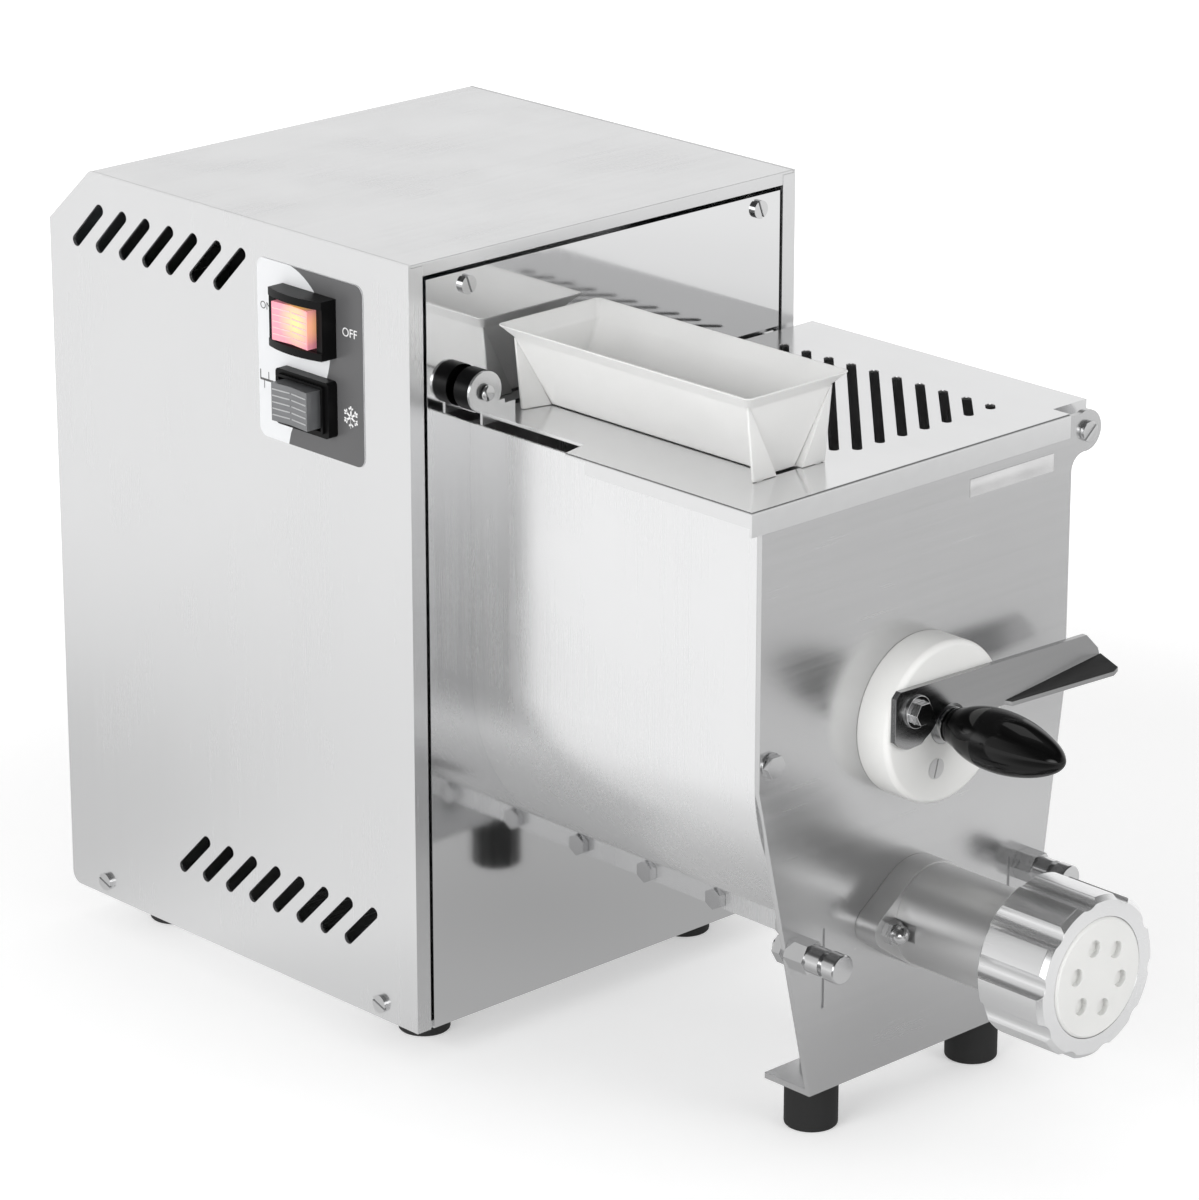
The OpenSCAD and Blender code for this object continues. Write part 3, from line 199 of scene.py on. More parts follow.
def skin_builder(name: str, first: str, second: str) -> GroupBuilder:
    """Start a group with the sockets that every surface skin has.

    Args:
        name: Name of the group.
        first: Name of the fine pattern's stretch.
        second: Name of the broad pattern's stretch.

    Returns:
        The builder.
    """
    return GroupBuilder(name,
                        [(first, "NodeSocketVector", (900.0, 900.0, 900.0)),
                         (second, "NodeSocketVector", (30.0, 30.0, 30.0)),
                         ("Light", "NodeSocketColor", (0.8, 0.8, 0.8, 1.0)),
                         ("Dark", "NodeSocketColor", (0.7, 0.7, 0.7, 1.0)),
                         ("Smooth", "NodeSocketFloat", 0.3),
                         ("Rough", "NodeSocketFloat", 0.5)],
                        [("Colour", "NodeSocketColor"), ("Roughness", "NodeSocketFloat"),
                         ("Height", "NodeSocketFloat")])


def brushed_group() -> bpy.types.NodeTree:
    """Brushed sheet steel: fine streaks, broader bands and faint handling marks.

    Returns:
        The node group, with outputs Colour, Roughness and Height.
    """
    g = skin_builder("brushed_sheet", "Stretch", "Bands")
    streaks = g.object_noise(g.given["Stretch"], 3.0, 0.6)
    bands = g.object_noise(g.given["Bands"], 2.0)
    marks = g.object_noise((18.0, 18.0, 18.0), 5.0, 0.55)
    blend = g.maths("MULTIPLY_ADD", streaks, 0.55, g.ranged(bands, 0.12, 0.33))
    share = g.ranged(blend, 0.0, 1.0, 0.2, 0.8)
    rough = g.ranged(blend, g.given["Smooth"], g.given["Rough"], 0.25, 0.75)
    smear = g.ranged(marks, 0.92, 1.12, 0.35, 0.65)
    g.feed(g.sink, {"Colour": g.mixed(share, g.given["Dark"], g.given["Light"]),
                    "Roughness": g.maths("MULTIPLY", rough, smear), "Height": streaks})
    return g.tree


def moulded_group() -> bpy.types.NodeTree:
    """Moulded plastic or rubber: fine skin texture and cloudiness.

    Returns:
        The node group, with outputs Colour, Roughness and Height.
    """
    g = skin_builder("moulded_skin", "Fine", "Clouds")
    fine = g.object_noise(g.given["Fine"], 3.0)
    clouds = g.object_noise(g.given["Clouds"], 4.0)
    share = g.ranged(clouds, 0.0, 1.0)
    g.feed(g.sink, {"Colour": g.mixed(share, g.given["Dark"], g.given["Light"]),
                    "Roughness": g.ranged(clouds, g.given["Smooth"], g.given["Rough"]),
                    "Height": fine})
    return g.tree


def glow_group() -> bpy.types.NodeTree:
    """Spot that fades from a centre, for the lamp behind a switch lens.

    Returns:
        The node group, with output Colour.
    """
    g = GroupBuilder("lamp_spot",
                     [("Centre", "NodeSocketVector", (0.0, 0.0, 0.0)),
                      ("Reach", "NodeSocketFloat", 0.012),
                      ("Core", "NodeSocketColor", (1.0, 0.7, 0.1, 1.0)),
                      ("Edge", "NodeSocketColor", (0.9, 0.2, 0.1, 1.0))],
                     [("Colour", "NodeSocketColor")])
    coords = g.node("ShaderNodeTexCoord").outputs["Object"]
    away = g.distance(coords, g.given["Centre"], g.given["Reach"])
    share = g.ranged(away, 1.0, 0.0, 0.15, 1.0)
    g.feed(g.sink, {"Colour": g.mixed(share, g.given["Edge"], g.given["Core"])})
    return g.tree


GROUPS: dict[str, bpy.types.NodeTree] = {
    "brushed": brushed_group(), "moulded": moulded_group(), "glow": glow_group()}


# ---- finishes


def fresh_material(name: str) -> tuple[bpy.types.Material, Wiring, bpy.types.Node]:
    """Start a material with nodes.

    Args:
        name: Its name.

    Returns:
        The material, the wiring of its tree and its Principled shader.
    """
    material = bpy.data.materials.new(name)
    material.use_nodes = True
    tree = material.node_tree
    return material, Wiring(tree), tree.nodes["Principled BSDF"]


def shaded(colour: Sequence[float], factor: float) -> tuple[float, float, float, float]:
    """Return a colour made lighter or darker, as RGBA."""
    return tuple(min(1.0, c * factor) for c in colour[:3]) + (1.0,)


@dataclass(frozen=True)
class Finish:
    """A material with varying colour, roughness and relief from one shared group."""

    name: str
    colour: Triple
    smooth: float
    rough: float
    metallic: float = 0.0
    contrast: float = 0.06
    relief: float = 0.05
    relief_depth: float = 0.0001
    coat: float = 0.0
    coat_rough: float = 0.08
    subsurface: float = 0.0
    specular: float = 0.5
    group: str = "moulded"
    stretch: Triple = (900.0, 900.0, 900.0)
    bands: Triple = (30.0, 30.0, 30.0)

    def tree(self) -> tuple[bpy.types.Material, Wiring, bpy.types.Node]:
        """Build the material.

        Returns:
            The material, the wiring of its tree and its Principled shader.
        """
        material, wires, shader = fresh_material(self.name)
        skin = wires.node("ShaderNodeGroup", node_tree=GROUPS[self.group])
        wires.feed(skin, {0: self.stretch, 1: self.bands,
                          "Light": shaded(self.colour, 1 + self.contrast),
                          "Dark": shaded(self.colour, 1 - self.contrast),
                          "Smooth": self.smooth, "Rough": self.rough})
        bump = wires.node("ShaderNodeBump", {"Strength": self.relief, "Distance": self.relief_depth,
                                             "Height": skin.outputs["Height"]})
        wires.feed(shader, {"Base Color": skin.outputs["Colour"],
                            "Roughness": skin.outputs["Roughness"],
                            "Normal": bump.outputs["Normal"], "Metallic": self.metallic,
                            "Specular IOR Level": self.specular})
        if self.coat:
            wires.feed(shader, {"Coat Weight": self.coat, "Coat Roughness": self.coat_rough})
        if self.subsurface:
            wires.feed(shader, {"Subsurface Weight": self.subsurface, "Subsurface Scale": 0.5,
                                "Subsurface Radius": (0.01, 0.01, 0.01)})
        return material, wires, shader

    def material(self) -> bpy.types.Material:
        """Return the finished material, built once."""
        return bpy.data.materials.get(self.name) or self.tree()[0]


@dataclass(frozen=True)
class LampFinish(Finish):
    """A translucent lens with a lamp behind it."""

    centre: Triple = (0.0, 0.0, 0.0)
    reach: float = 0.013
    core: Triple = (1.0, 0.75, 0.15)
    strength: float = 1.0
    edge_share: float = 0.35

    def tree(self) -> tuple[bpy.types.Material, Wiring, bpy.types.Node]:
        """Build the lens material, with the lamp's spot as its emission.

        Returns:
            The material, the wiring of its tree and its Principled shader.
        """
        material, wires, shader = Finish.tree(self)
        spot = wires.node("ShaderNodeGroup", node_tree=GROUPS["glow"])
        wires.feed(spot, {"Centre": self.centre, "Reach": self.reach, "Core": self.core + (1.0,),
                          "Edge": shaded(self.colour, self.edge_share)})
        wires.feed(shader, {"Emission Color": spot.outputs["Colour"],
                            "Emission Strength": self.strength})
        return material, wires, shader


def steel(name: str, grain: Grain, tone: float, smooth: float, rough: float,
          contrast: float, relief: float, metallic: float = 1.0) -> Finish:
    """Describe a brushed stainless finish.

    Args:
        name: Name of the material.
        grain: Brushing direction.
        tone: Grey level of the metal.
        smooth: Lowest roughness.
        rough: Highest roughness.
        contrast: How much the streaks vary in tone.
        relief: Strength of the streaks' relief.
        metallic: Share of the mirrored light; the rest is the haze of worn brushing.

    Returns:
        The finish.
    """
    wide = tuple(2.0 if s < 20 else s / 9 for s in grain.value)
    return Finish(name, (tone, tone * 1.002, tone * 1.008), smooth, rough, metallic=metallic,
                  contrast=contrast, relief=relief, group="brushed", stretch=grain.value,
                  bands=wide)


class Finishes:
    """Every finish of the machine."""

    side_sheet = steel("side_sheet_steel", Grain.ALONG_Z, 0.77, 0.2, 0.28, 0.014, 0.005, 0.85)
    cover_sheet = steel("cover_sheet_steel", Grain.ALONG_X, 0.77, 0.2, 0.28, 0.02, 0.008, 0.85)
    shiny_panel = steel("shiny_panel_steel", Grain.ALONG_Z, 0.8, 0.045, 0.08, 0.008, 0.006)
    trough_sheet = steel("trough_sheet_steel", Grain.ALONG_Z, 0.88, 0.2, 0.3, 0.01, 0.005, 0.88)
    plate_sheet = steel("front_plate_steel", Grain.ALONG_X, 0.64, 0.18, 0.27, 0.016, 0.004, 0.86)
    lid_sheet = steel("lid_sheet_steel", Grain.ALONG_Y, 0.8, 0.14, 0.22, 0.016, 0.008, 0.88)
    lever_sheet = steel("lever_steel", Grain.ALONG_X, 0.42, 0.16, 0.26, 0.03, 0.012)
    turned = steel("turned_steel", Grain.TURNED, 0.54, 0.07, 0.12, 0.03, 0.01)
    milled = steel("milled_steel", Grain.ALONG_Y, 0.88, 0.18, 0.3, 0.03, 0.012, 0.9)
    bright = steel("bright_fastener_steel", Grain.TURNED, 0.68, 0.1, 0.2, 0.04, 0.015)
    gear = steel("oiled_gear_steel", Grain.TURNED, 0.42, 0.25, 0.4, 0.08, 0.06)
    cast = Finish("cast_alloy", (0.42, 0.43, 0.44), 0.42, 0.6, metallic=0.9, contrast=0.1,
                  relief=0.35, relief_depth=0.0004, stretch=(420.0, 420.0, 420.0))
    motor = Finish("motor_paint", (0.12, 0.14, 0.17), 0.35, 0.5, contrast=0.08, relief=0.15)
    white = Finish("white_moulding", (0.8, 0.8, 0.785), 0.36, 0.5, contrast=0.025, subsurface=0.15)
    hopper = Finish("hopper_moulding", (0.8, 0.8, 0.79), 0.32, 0.46, contrast=0.02, subsurface=0.3)
    rubber = Finish("foot_rubber", (0.018, 0.018, 0.019), 0.55, 0.75, contrast=0.2, relief=0.2,
                    stretch=(700.0, 700.0, 700.0))
    black = Finish("black_moulding", (0.004, 0.004, 0.0042), 0.26, 0.4, contrast=0.15, relief=0.06,
                   specular=0.14)
    egg = Finish("egg_grip_gloss", (0.002, 0.002, 0.002), 0.05, 0.1, contrast=0.2, relief=0.01,
                 specular=0.35)
    label = Finish("label_film", (0.54, 0.54, 0.538), 0.3, 0.42, contrast=0.02, relief=0.03)
    # Painted reflection: a dark film for the dark reflection over the right of the silver label.
    painted_dark_reflection = Finish("label_painted_reflection", (0.1, 0.1, 0.102), 0.3, 0.42, relief=0.03)
    print_dark = Finish("label_print", (0.1, 0.1, 0.1), 0.35, 0.5, contrast=0.1)
    print_white = Finish("label_print_white", (0.8, 0.8, 0.8), 0.35, 0.5, contrast=0.03)
    lens_grey = Finish("grey_lens", (0.14, 0.143, 0.148), 0.12, 0.2, contrast=0.2, coat=0.4,
                       relief=0.02)
    # Painted highlights: the ribs are moulded with their lenses, and their lighter colours stand
    # for the light that their crests catch.
    rib_grey_highlight = Finish("grey_lens_rib_highlight", (0.42, 0.425, 0.43), 0.1, 0.18, contrast=0.1, relief=0.02)
    rib_red_highlight = Finish("lit_lens_rib_highlight", (0.92, 0.55, 0.56), 0.1, 0.18, relief=0.02)
    screw_grey = Finish("pale_screw", (0.6, 0.6, 0.6), 0.3, 0.45, relief=0.04)
    blank = Finish("blank_label_film", (0.72, 0.72, 0.72), 0.16, 0.26, metallic=0.7,
                   contrast=0.12, relief=0.02, stretch=(40.0, 40.0, 40.0))
    lens_red = LampFinish("lit_lens", (0.74, 0.27, 0.33), 0.12, 0.2, contrast=0.08, coat=0.5,
                          relief=0.02, centre=tuple(place(-11, 65, 359.5)), reach=0.0125,
                          core=(1.0, 0.62, 0.0))
    terminal = Finish("terminal_moulding", (0.75, 0.73, 0.66), 0.4, 0.6, contrast=0.04)


# ---- mesh workshop


def polar(centre: Pair, length: float, degrees: float) -> Pair:
    """Return the point at a distance and an angle from a centre."""
    turn = math.radians(degrees)
    return centre[0] + length * math.cos(turn), centre[1] + length * math.sin(turn)


def arc(centre: Pair, radius: float, start: float, sweep: float, steps: int) -> list[Pair]:
    """Return the points of an arc, both ends included.

    Args:
        centre: Its centre.
        radius: Its radius.
        start: Angle of the first point, in degrees.
        sweep: Turn to the last point, in degrees.
        steps: Number of steps.

    Returns:
        The points.
    """
    return [polar(centre, radius, start + sweep * i / steps) for i in range(steps + 1)]


def add_object(name: str, data: bpy.types.ID | None) -> bpy.types.Object:
    """Put a new object in the scene.

    Args:
        name: Its name.
        data: Its mesh, curve, light or camera.

    Returns:
        The object.
    """
    thing = bpy.data.objects.new(name, data)
    bpy.context.scene.collection.objects.link(thing)
    return thing


def mesh_data(name: str, mesh: BMesh) -> bpy.types.Mesh:
    """Turn a bmesh into mesh data.

    Args:
        name: Name of the data.
        mesh: The bmesh, which is freed here.

    Returns:
        The data.
    """
    data = bpy.data.meshes.new(name)
    mesh.to_mesh(data)
    mesh.free()
    return data


def new_piece(name: str, mesh: BMesh, finish: Finish, body: str,
              stands_for: Sequence[str] = ()) -> bpy.types.Object:
    """Turn a bmesh into a finished piece that rides on a body.

    Args:
        name: Name of the piece.
        mesh: The mesh, in metres in the frame, which is freed here.
        finish: Its finish.
        body: The body it moves with.
        stands_for: CAD nodes that it replaces.

    Returns:
        The new object.
    """
    piece = add_object(name, mesh_data(name, mesh))
    piece.data.materials.append(finish.material())
    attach(piece, body)
    if stands_for:
        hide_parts(*stands_for)
    LOG.info("%s: %d faces", name, len(piece.data.polygons))
    return piece


def cad_copy(node: str) -> BMesh:
    """Copy a CAD node's mesh, merged and with flat areas made single faces.

    Args:
        node: Name of the CAD node.

    Returns:
        The copy.
    """
    mesh = bmesh.new()
    mesh.from_mesh(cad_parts[node].data)
    bmesh.ops.remove_doubles(mesh, verts=mesh.verts, dist=2e-6)
    bmesh.ops.dissolve_limit(mesh, angle_limit=math.radians(0.4), verts=mesh.verts,
                             edges=mesh.edges, delimit=set())
    return mesh


def sharp_edges(mesh: BMesh) -> list[bmesh.types.BMEdge]:
    """Return the edges between two faces that are sharp enough to be broken."""
    limit = math.radians(BREAK_ANGLE)
    return [e for e in mesh.edges if len(e.link_faces) == 2 and e.calc_face_angle(0.0) > limit]


def bevelled(mesh: BMesh, edges: list[bmesh.types.BMEdge], width: float, segments: int) -> None:
    """Round some edges of a mesh.

    Args:
        mesh: The mesh.
        edges: The edges.
        width: Width of the rounding, in millimetres.
        segments: Steps across it.
    """
    bmesh.ops.bevel(mesh, geom=edges, offset=width * MM, offset_type="OFFSET", segments=segments,
                    profile=0.5, affect="EDGES", clamp_overlap=True, material=-1)


def smooth_by_angle(mesh: BMesh, degrees: float) -> None:
    """Shade a mesh smooth, and keep its sharper edges crisp.

    Args:
        mesh: The mesh.
        degrees: Smallest angle of an edge that stays crisp.
    """
    limit = math.radians(degrees)
    for face in mesh.faces:
        face.smooth = True
    for edge in mesh.edges:
        if len(edge.link_faces) == 2:
            edge.smooth = edge.calc_face_angle(0.0) < limit


def finish_normals(piece: bpy.types.Object) -> None:
    """Let the large faces rule the shading, so narrow broken edges read as round.

    Args:
        piece: The piece.
    """
    weighted = piece.modifiers.new("weighted_normals", "WEIGHTED_NORMAL")
    weighted.keep_sharp = True
    weighted.weight = 60


def eased(node: str, width: float, finish: Finish, body: str, segments: int = 2,
          bend: Callable[[Vector], bool] | None = None) -> bpy.types.Object:
    """Copy a CAD node, break its edges like a maker would, and put it in the node's place.

    Args:
        node: Name of the CAD node.
        width: Width of the broken edge, in millimetres.
        finish: Finish of the piece.
        body: The body it rides on.
        segments: Steps across the broken edge.
        bend: Optional test for the corners of edges that were bent to a larger radius.

    Returns:
        The new object.
    """
    mesh = cad_copy(node)
    if bend:
        bent = [e for e in sharp_edges(mesh) if all(bend(v.co) for v in e.verts)]
        bevelled(mesh, bent, BEND_RADIUS, 4)
    bevelled(mesh, sharp_edges(mesh), width, segments)
    smooth_by_angle(mesh, 24.0)
    piece = new_piece(f"{node}_finished", mesh, finish, body, (node,))
    finish_normals(piece)
    return piece


def dress_node(node: str, finish: Finish) -> None:
    """Give a CAD node its finish and leave its mesh alone.

    Args:
        node: Name of the CAD node.
        finish: Its finish.
    """
    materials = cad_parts[node].data.materials
    materials.clear()
    materials.append(finish.material())


def spun(profile: Sequence[Pair], centre: Vector, steps: int) -> BMesh:
    """Spin a closed (radius, y) outline round an axis along Y.

    Args:
        profile: Radius and position along the axis of each corner, in millimetres.
        centre: A point on the axis, whose Y is the profile's zero.
        steps: Number of steps round the axis.

    Returns:
        The spun mesh.
    """
    mesh = bmesh.new()
    corners = [mesh.verts.new(centre + Vector((r * MM, y * MM, 0))) for r, y in profile]
    edges = [mesh.edges.new((a, b)) for a, b in zip(corners, corners[1:])]
    bmesh.ops.spin(mesh, geom=corners + edges, cent=centre, axis=(0, 1, 0), dvec=(0, 0, 0),
                   angle=math.tau, steps=steps, use_merge=True, use_duplicate=False)
    bmesh.ops.remove_doubles(mesh, verts=mesh.verts, dist=1e-6)
    bmesh.ops.recalc_face_normals(mesh, faces=mesh.faces)
    return mesh


def rounded_bar(low: Vector, high: Vector, width: float, segments: int = 2) -> BMesh:
    """Make a box between two corners with its edges rounded.

    Args:
        low: Lowest corner in metres.
        high: Highest corner in metres.
        width: Edge radius in millimetres.
        segments: Steps of the rounding.

    Returns:
        The mesh.
    """
    mesh = bmesh.new()
    bmesh.ops.create_cube(mesh, size=1.0, matrix=Matrix.Translation((low + high) / 2)
                          @ Matrix.Diagonal((*(high - low), 1.0)))
    bevelled(mesh, list(mesh.edges), width, segments)
    smooth_by_angle(mesh, 40.0)
    return mesh


def joined(parts: Sequence[BMesh]) -> BMesh:
    """Put several meshes into one.

    Args:
        parts: The meshes, which are freed here.

    Returns:
        The whole mesh.
    """
    whole = bmesh.new()
    for part in parts:
        data = mesh_data("part", part)
        whole.from_mesh(data)
        bpy.data.meshes.remove(data)
    return whole


# ---- sub-assemblies


@dataclass
class Housing:
    """Sheet steel housing with its feet and screws."""

    sheet_edge: float = 0.35
    panel_edge: float = 0.3
    screw_edge: float = 0.35
    foot_edge: float = 1.2
    gland_edge: float = 0.6

    def build(self) -> None:
        """Dress the panels, the base and what holds them."""
        f = Finishes
        for side in ("left_side_panel", "right_side_panel"):
            eased(side, self.sheet_edge, f.side_sheet, "frame")
        eased("top_back_cover", self.sheet_edge, f.cover_sheet, "frame")
        eased("front_panel", self.panel_edge, f.shiny_panel, "frame")
        dress_node("base_plate", f.cover_sheet)
        eased("panel_screws", self.screw_edge, f.bright, "frame")
        eased("housing_feet", self.foot_edge, f.rubber, "frame", 3)
        dress_node("foot_nuts", f.bright)
        eased("cable_gland", self.gland_edge, f.black, "frame")
        dress_node("terminal_block", f.terminal)


@dataclass
class Drive:
    """Motor, gears and shafts inside the housing."""

    finishes: dict[Finish, tuple[str, ...]] = field(default_factory=lambda: {
        Finishes.cast: ("gearbox_case", "gearbox_cover", "motor_end_shield"),
        Finishes.motor: ("motor_body",),
        Finishes.black: ("fan_cowl", "motor_fan", "motor_capacitor", "lid_sensor"),
        Finishes.gear: ("rotor_shaft", "rotor_pinion", "idler_shaft", "idler_gear",
                        "idler_pinion", "mixing_gear", "auger_gear", "bush_sleeve"),
        Finishes.bright: ("shaft_bearings",), Finishes.rubber: ("shaft_seals",)})

    def build(self) -> None:
        """Dress each drive part in place."""
        for finish, nodes in self.finishes.items():
            for node in nodes:
                dress_node(node, finish)


@dataclass
class Controls:
    """Label and the two rocker switches."""

    switch_y: float = 69.0
    power_z: float = 358.0
    power_out: float = 12.8
    direction_z: float = 319.0
    direction_out: float = 14.0
    hood_edge: float = 0.7
    rocker_edge: float = 0.6
    rocker_half: float = 12.6
    rocker_slope: float = 1.2
    rib_pitch: float = 3.1
    rib_half: float = 0.35
    rib_sink: float = 0.3
    rib_rise: float = 0.6
    rib_start: float = 0.6
    rib_gap: float = 0.7
    label_edge: float = 0.15
    label_left: float = 106.5
    label_top: float = 381.7
    label_w: float = 75.0
    label_h: float = 87.5
    label_corner: float = 5.0
    label_margin: float = 0.05
    # Height and outline of the painted dark reflection over the label.
    reflection_out: float = 0.415
    bulge_centre: Pair = (15.9, 35.0)
    bulge_radius: float = 36.0
    bulge_sweep: float = 118.0
    on_at: Pair = (6.2, 23.3)
    on_size: float = 5.2
    off_at: Pair = (65.7, 24.1)
    off_size: float = 6.0
    crystal_at: Pair = (65.7, 64.3)
    crystal_arm: float = 5.3
    crystal_twig: float = 1.9
    shaft_at: Pair = (1.0, 59.5)
    shaft_length: float = 9.5

    def build(self) -> None:
        """Dress the switches, add the ribs of the lenses in painted highlight colours, the painted
        dark reflection on the label and the marks beside them.
        """
        f = Finishes
        eased("control_label", self.label_edge, f.label, "frame")
        for switch in ("power", "direction"):
            eased(f"{switch}_switch_body", self.hood_edge, f.black, "frame", 3)
        eased("power_rocker", self.rocker_edge, f.lens_red, "power_rocker", 3)
        eased("direction_rocker", self.rocker_edge, f.lens_grey, "direction_rocker",
              3)
        # The ribs carry painted highlight colours.
        new_piece("power_rocker_ribs", self.ribs(self.power_z, self.power_out), f.rib_red_highlight,
                  "power_rocker")
        new_piece("direction_rocker_ribs", self.ribs(self.direction_z, self.direction_out),
                  f.rib_grey_highlight, "direction_rocker")
        # Painted dark reflection over the right of the label.
        self.painted_dark_reflection()
        self.word("ON", self.on_at, self.on_size, f.print_dark)
        self.word("OFF", self.off_at, self.off_size, f.print_white)
        self.star()
        self.arm()

    def on_label(self, across: float, down: float, out: float = 0.43) -> Vector:
        """Return the frame position of a point given from the label's upper left corner."""
        return place(-out, self.label_left - across, self.label_top - down)

    def ribs(self, z: float, out: float) -> BMesh:
        """Lay fine level ribs over the two slopes of a rocker's face.

        Args:
            z: Height of the rocker's middle, in millimetres.
            out: How far its face stands out of the panel, in millimetres.

        Returns:
            The ribs.
        """
        bars = []
        low = Vector((-self.rib_sink, self.rib_start, -self.rib_half)) * MM
        high = Vector((self.rib_rise, self.rocker_half - self.rib_gap, self.rib_half)) * MM
        for i in range(-2, 3):
            for side in (-1, 1):
                mesh = rounded_bar(low, high, 0.25)
                for vert in mesh.verts:
                    fall = vert.co.y / MM * self.rocker_slope / self.rocker_half
                    vert.co.x += (self.rocker_slope - fall) * MM
                    vert.co.y *= side
                if side < 0:
                    bmesh.ops.reverse_faces(mesh, faces=mesh.faces)
                middle = place(-out, self.switch_y, z + i * self.rib_pitch)
                bmesh.ops.translate(mesh, verts=mesh.verts, vec=middle)
                bars.append(mesh)
        return joined(bars)

    def painted_dark_reflection(self) -> None:
        """Lay a painted dark reflection over the right of the label, bounded by its plain curve."""
        right, low = self.label_w - 0.1, self.label_h - self.label_margin
        r = self.label_corner
        outline = [(u, max(self.label_margin, v)) for u, v in
                   arc(self.bulge_centre, self.bulge_radius, -90, self.bulge_sweep, 24)]
        outline += [(42.0, 61.0), (35.5, 67.5), (29.0, 73.0), (25.0, 77.0), (22.6, 81.5),
                    (21.0, low)]
        outline += arc((right - r, low - r), r, 90, -90, 8)
        outline += arc((right - r, r + self.label_margin), r, 0, -90, 8)
        mesh = bmesh.new()
        face = mesh.faces.new([mesh.verts.new(self.on_label(u, v, self.reflection_out))
                               for u, v in outline])
        face.normal_update()
        if face.normal.x > 0:
            face.normal_flip()
        bmesh.ops.triangulate(mesh, faces=[face])
        # The film is the painted dark reflection.
        new_piece("label_painted_reflection_film", mesh, Finishes.painted_dark_reflection, "frame")

    def word(self, text: str, middle: Pair, height: float, finish: Finish) -> None:
        """Set a plain word on the label.

        Args:
            text: The word.
            middle: Its middle, across and down the label.
            height: Letter size in millimetres.
            finish: Its ink.
        """
        curve = bpy.data.curves.new(f"word_{text}", "FONT")
        curve.body = text
        curve.size = height * MM
        curve.extrude = 0.02 * MM
        curve.align_x, curve.align_y = "CENTER", "CENTER"
        written = add_object(f"word_{text}", curve)
        data = bpy.data.meshes.new_from_object(written)
        bpy.data.objects.remove(written)
        mesh = bmesh.new()
        mesh.from_mesh(data)
        upright = Matrix(((0, 0, -1, 0), (-1, 0, 0, 0), (0, 1, 0, 0), (0, 0, 0, 1)))
        bmesh.ops.transform(mesh, verts=mesh.verts,
                            matrix=Matrix.Translation(self.on_label(*middle)) @ upright)
        new_piece(f"print_{text}", mesh, finish, "frame")

    def stroke(self, start: Pair, end: Pair, width: float) -> BMesh:
        """Print one line between two points of the label.

        Args:
            start: First point, across and down the label.
            end: Last point.
            width: Width of the line in millimetres.

        Returns:
            The line.
        """
        a, b = self.on_label(*start), self.on_label(*end)
        along = b - a
        corner = Vector((0.02, width / 2, along.length / MM / 2)) * MM
        mesh = rounded_bar(-corner, corner, 0.015, 1)
        turn = Vector((0, 0, 1)).rotation_difference(along.normalized())
        bmesh.ops.transform(mesh, verts=mesh.verts,
                            matrix=Matrix.Translation((a + b) / 2) @ turn.to_matrix().to_4x4())
        return mesh

    def star(self) -> None:
        """Print a six-armed crystal with short side strokes beside the lower switch."""
        bars = []
        for turn in range(30, 390, 60):
            tip = polar(self.crystal_at, self.crystal_arm, turn)
            bars.append(self.stroke(self.crystal_at, tip, 1.0))
            fork = polar(self.crystal_at, 0.6 * self.crystal_arm, turn)
            for side in (-50, 50):
                twig = polar(fork, self.crystal_twig, turn + side)
                bars.append(self.stroke(fork, twig, 0.8))
        new_piece("print_crystal", joined(bars), Finishes.print_white, "frame")

    def arm(self) -> None:
        """Print a plain shaft with three arms beside the lower switch."""
        left, down = self.shaft_at
        bars = [self.stroke(self.shaft_at, (left + self.shaft_length, down), 1.1)]
        for along, rise, width in ((0.3, -4.6, 0.7), (3.1, 4.2, 0.6), (6.2, -4.2, 0.6)):
            bars.append(self.stroke((left + along, down), (left + along, down + rise), width))
        new_piece("print_arm", joined(bars), Finishes.print_dark, "frame")


@dataclass
class Trough:
    """Mixing trough, its keel, front plate and feet."""

    sheet_edge: float = 0.3
    bar_edge: float = 0.4
    bolt_edge: float = 0.45
    plate_edge: float = 0.45
    foot_edge: float = 1.2
    stud_edge: float = 0.4
    foil_low: Triple = (171.3, -189.75, 294.4)
    foil_high: Triple = (228.1, -189.45, 303.0)
    foil_edge: float = 0.12

    def build(self) -> None:
        """Dress the trough's sheets and fasteners, and lay the blank foil on the front plate."""
        f = Finishes
        for half in ("trough_left_half", "trough_right_half"):
            eased(half, self.sheet_edge, f.trough_sheet, "frame")
        dress_node("trough_back_plate", f.trough_sheet)
        eased("keel_bar", self.bar_edge, f.milled, "frame")
        eased("keel_bolts", self.bolt_edge, f.bright, "frame")
        eased("front_plate", self.plate_edge, f.plate_sheet, "frame")
        eased("plate_bolts", self.bolt_edge, f.bright, "frame")
        foil = rounded_bar(place(*self.foil_low), place(*self.foil_high), self.foil_edge)
        new_piece("blank_plate_label", foil, f.blank, "frame")
        eased("front_feet", self.foot_edge, f.rubber, "frame", 3)
        eased("accessory_studs", self.stud_edge, f.bright, "frame")
        for turning in ("mixing_shaft", "mixing_paddles", "auger_shaft", "auger_flight"):
            dress_node(turning, f.turned)


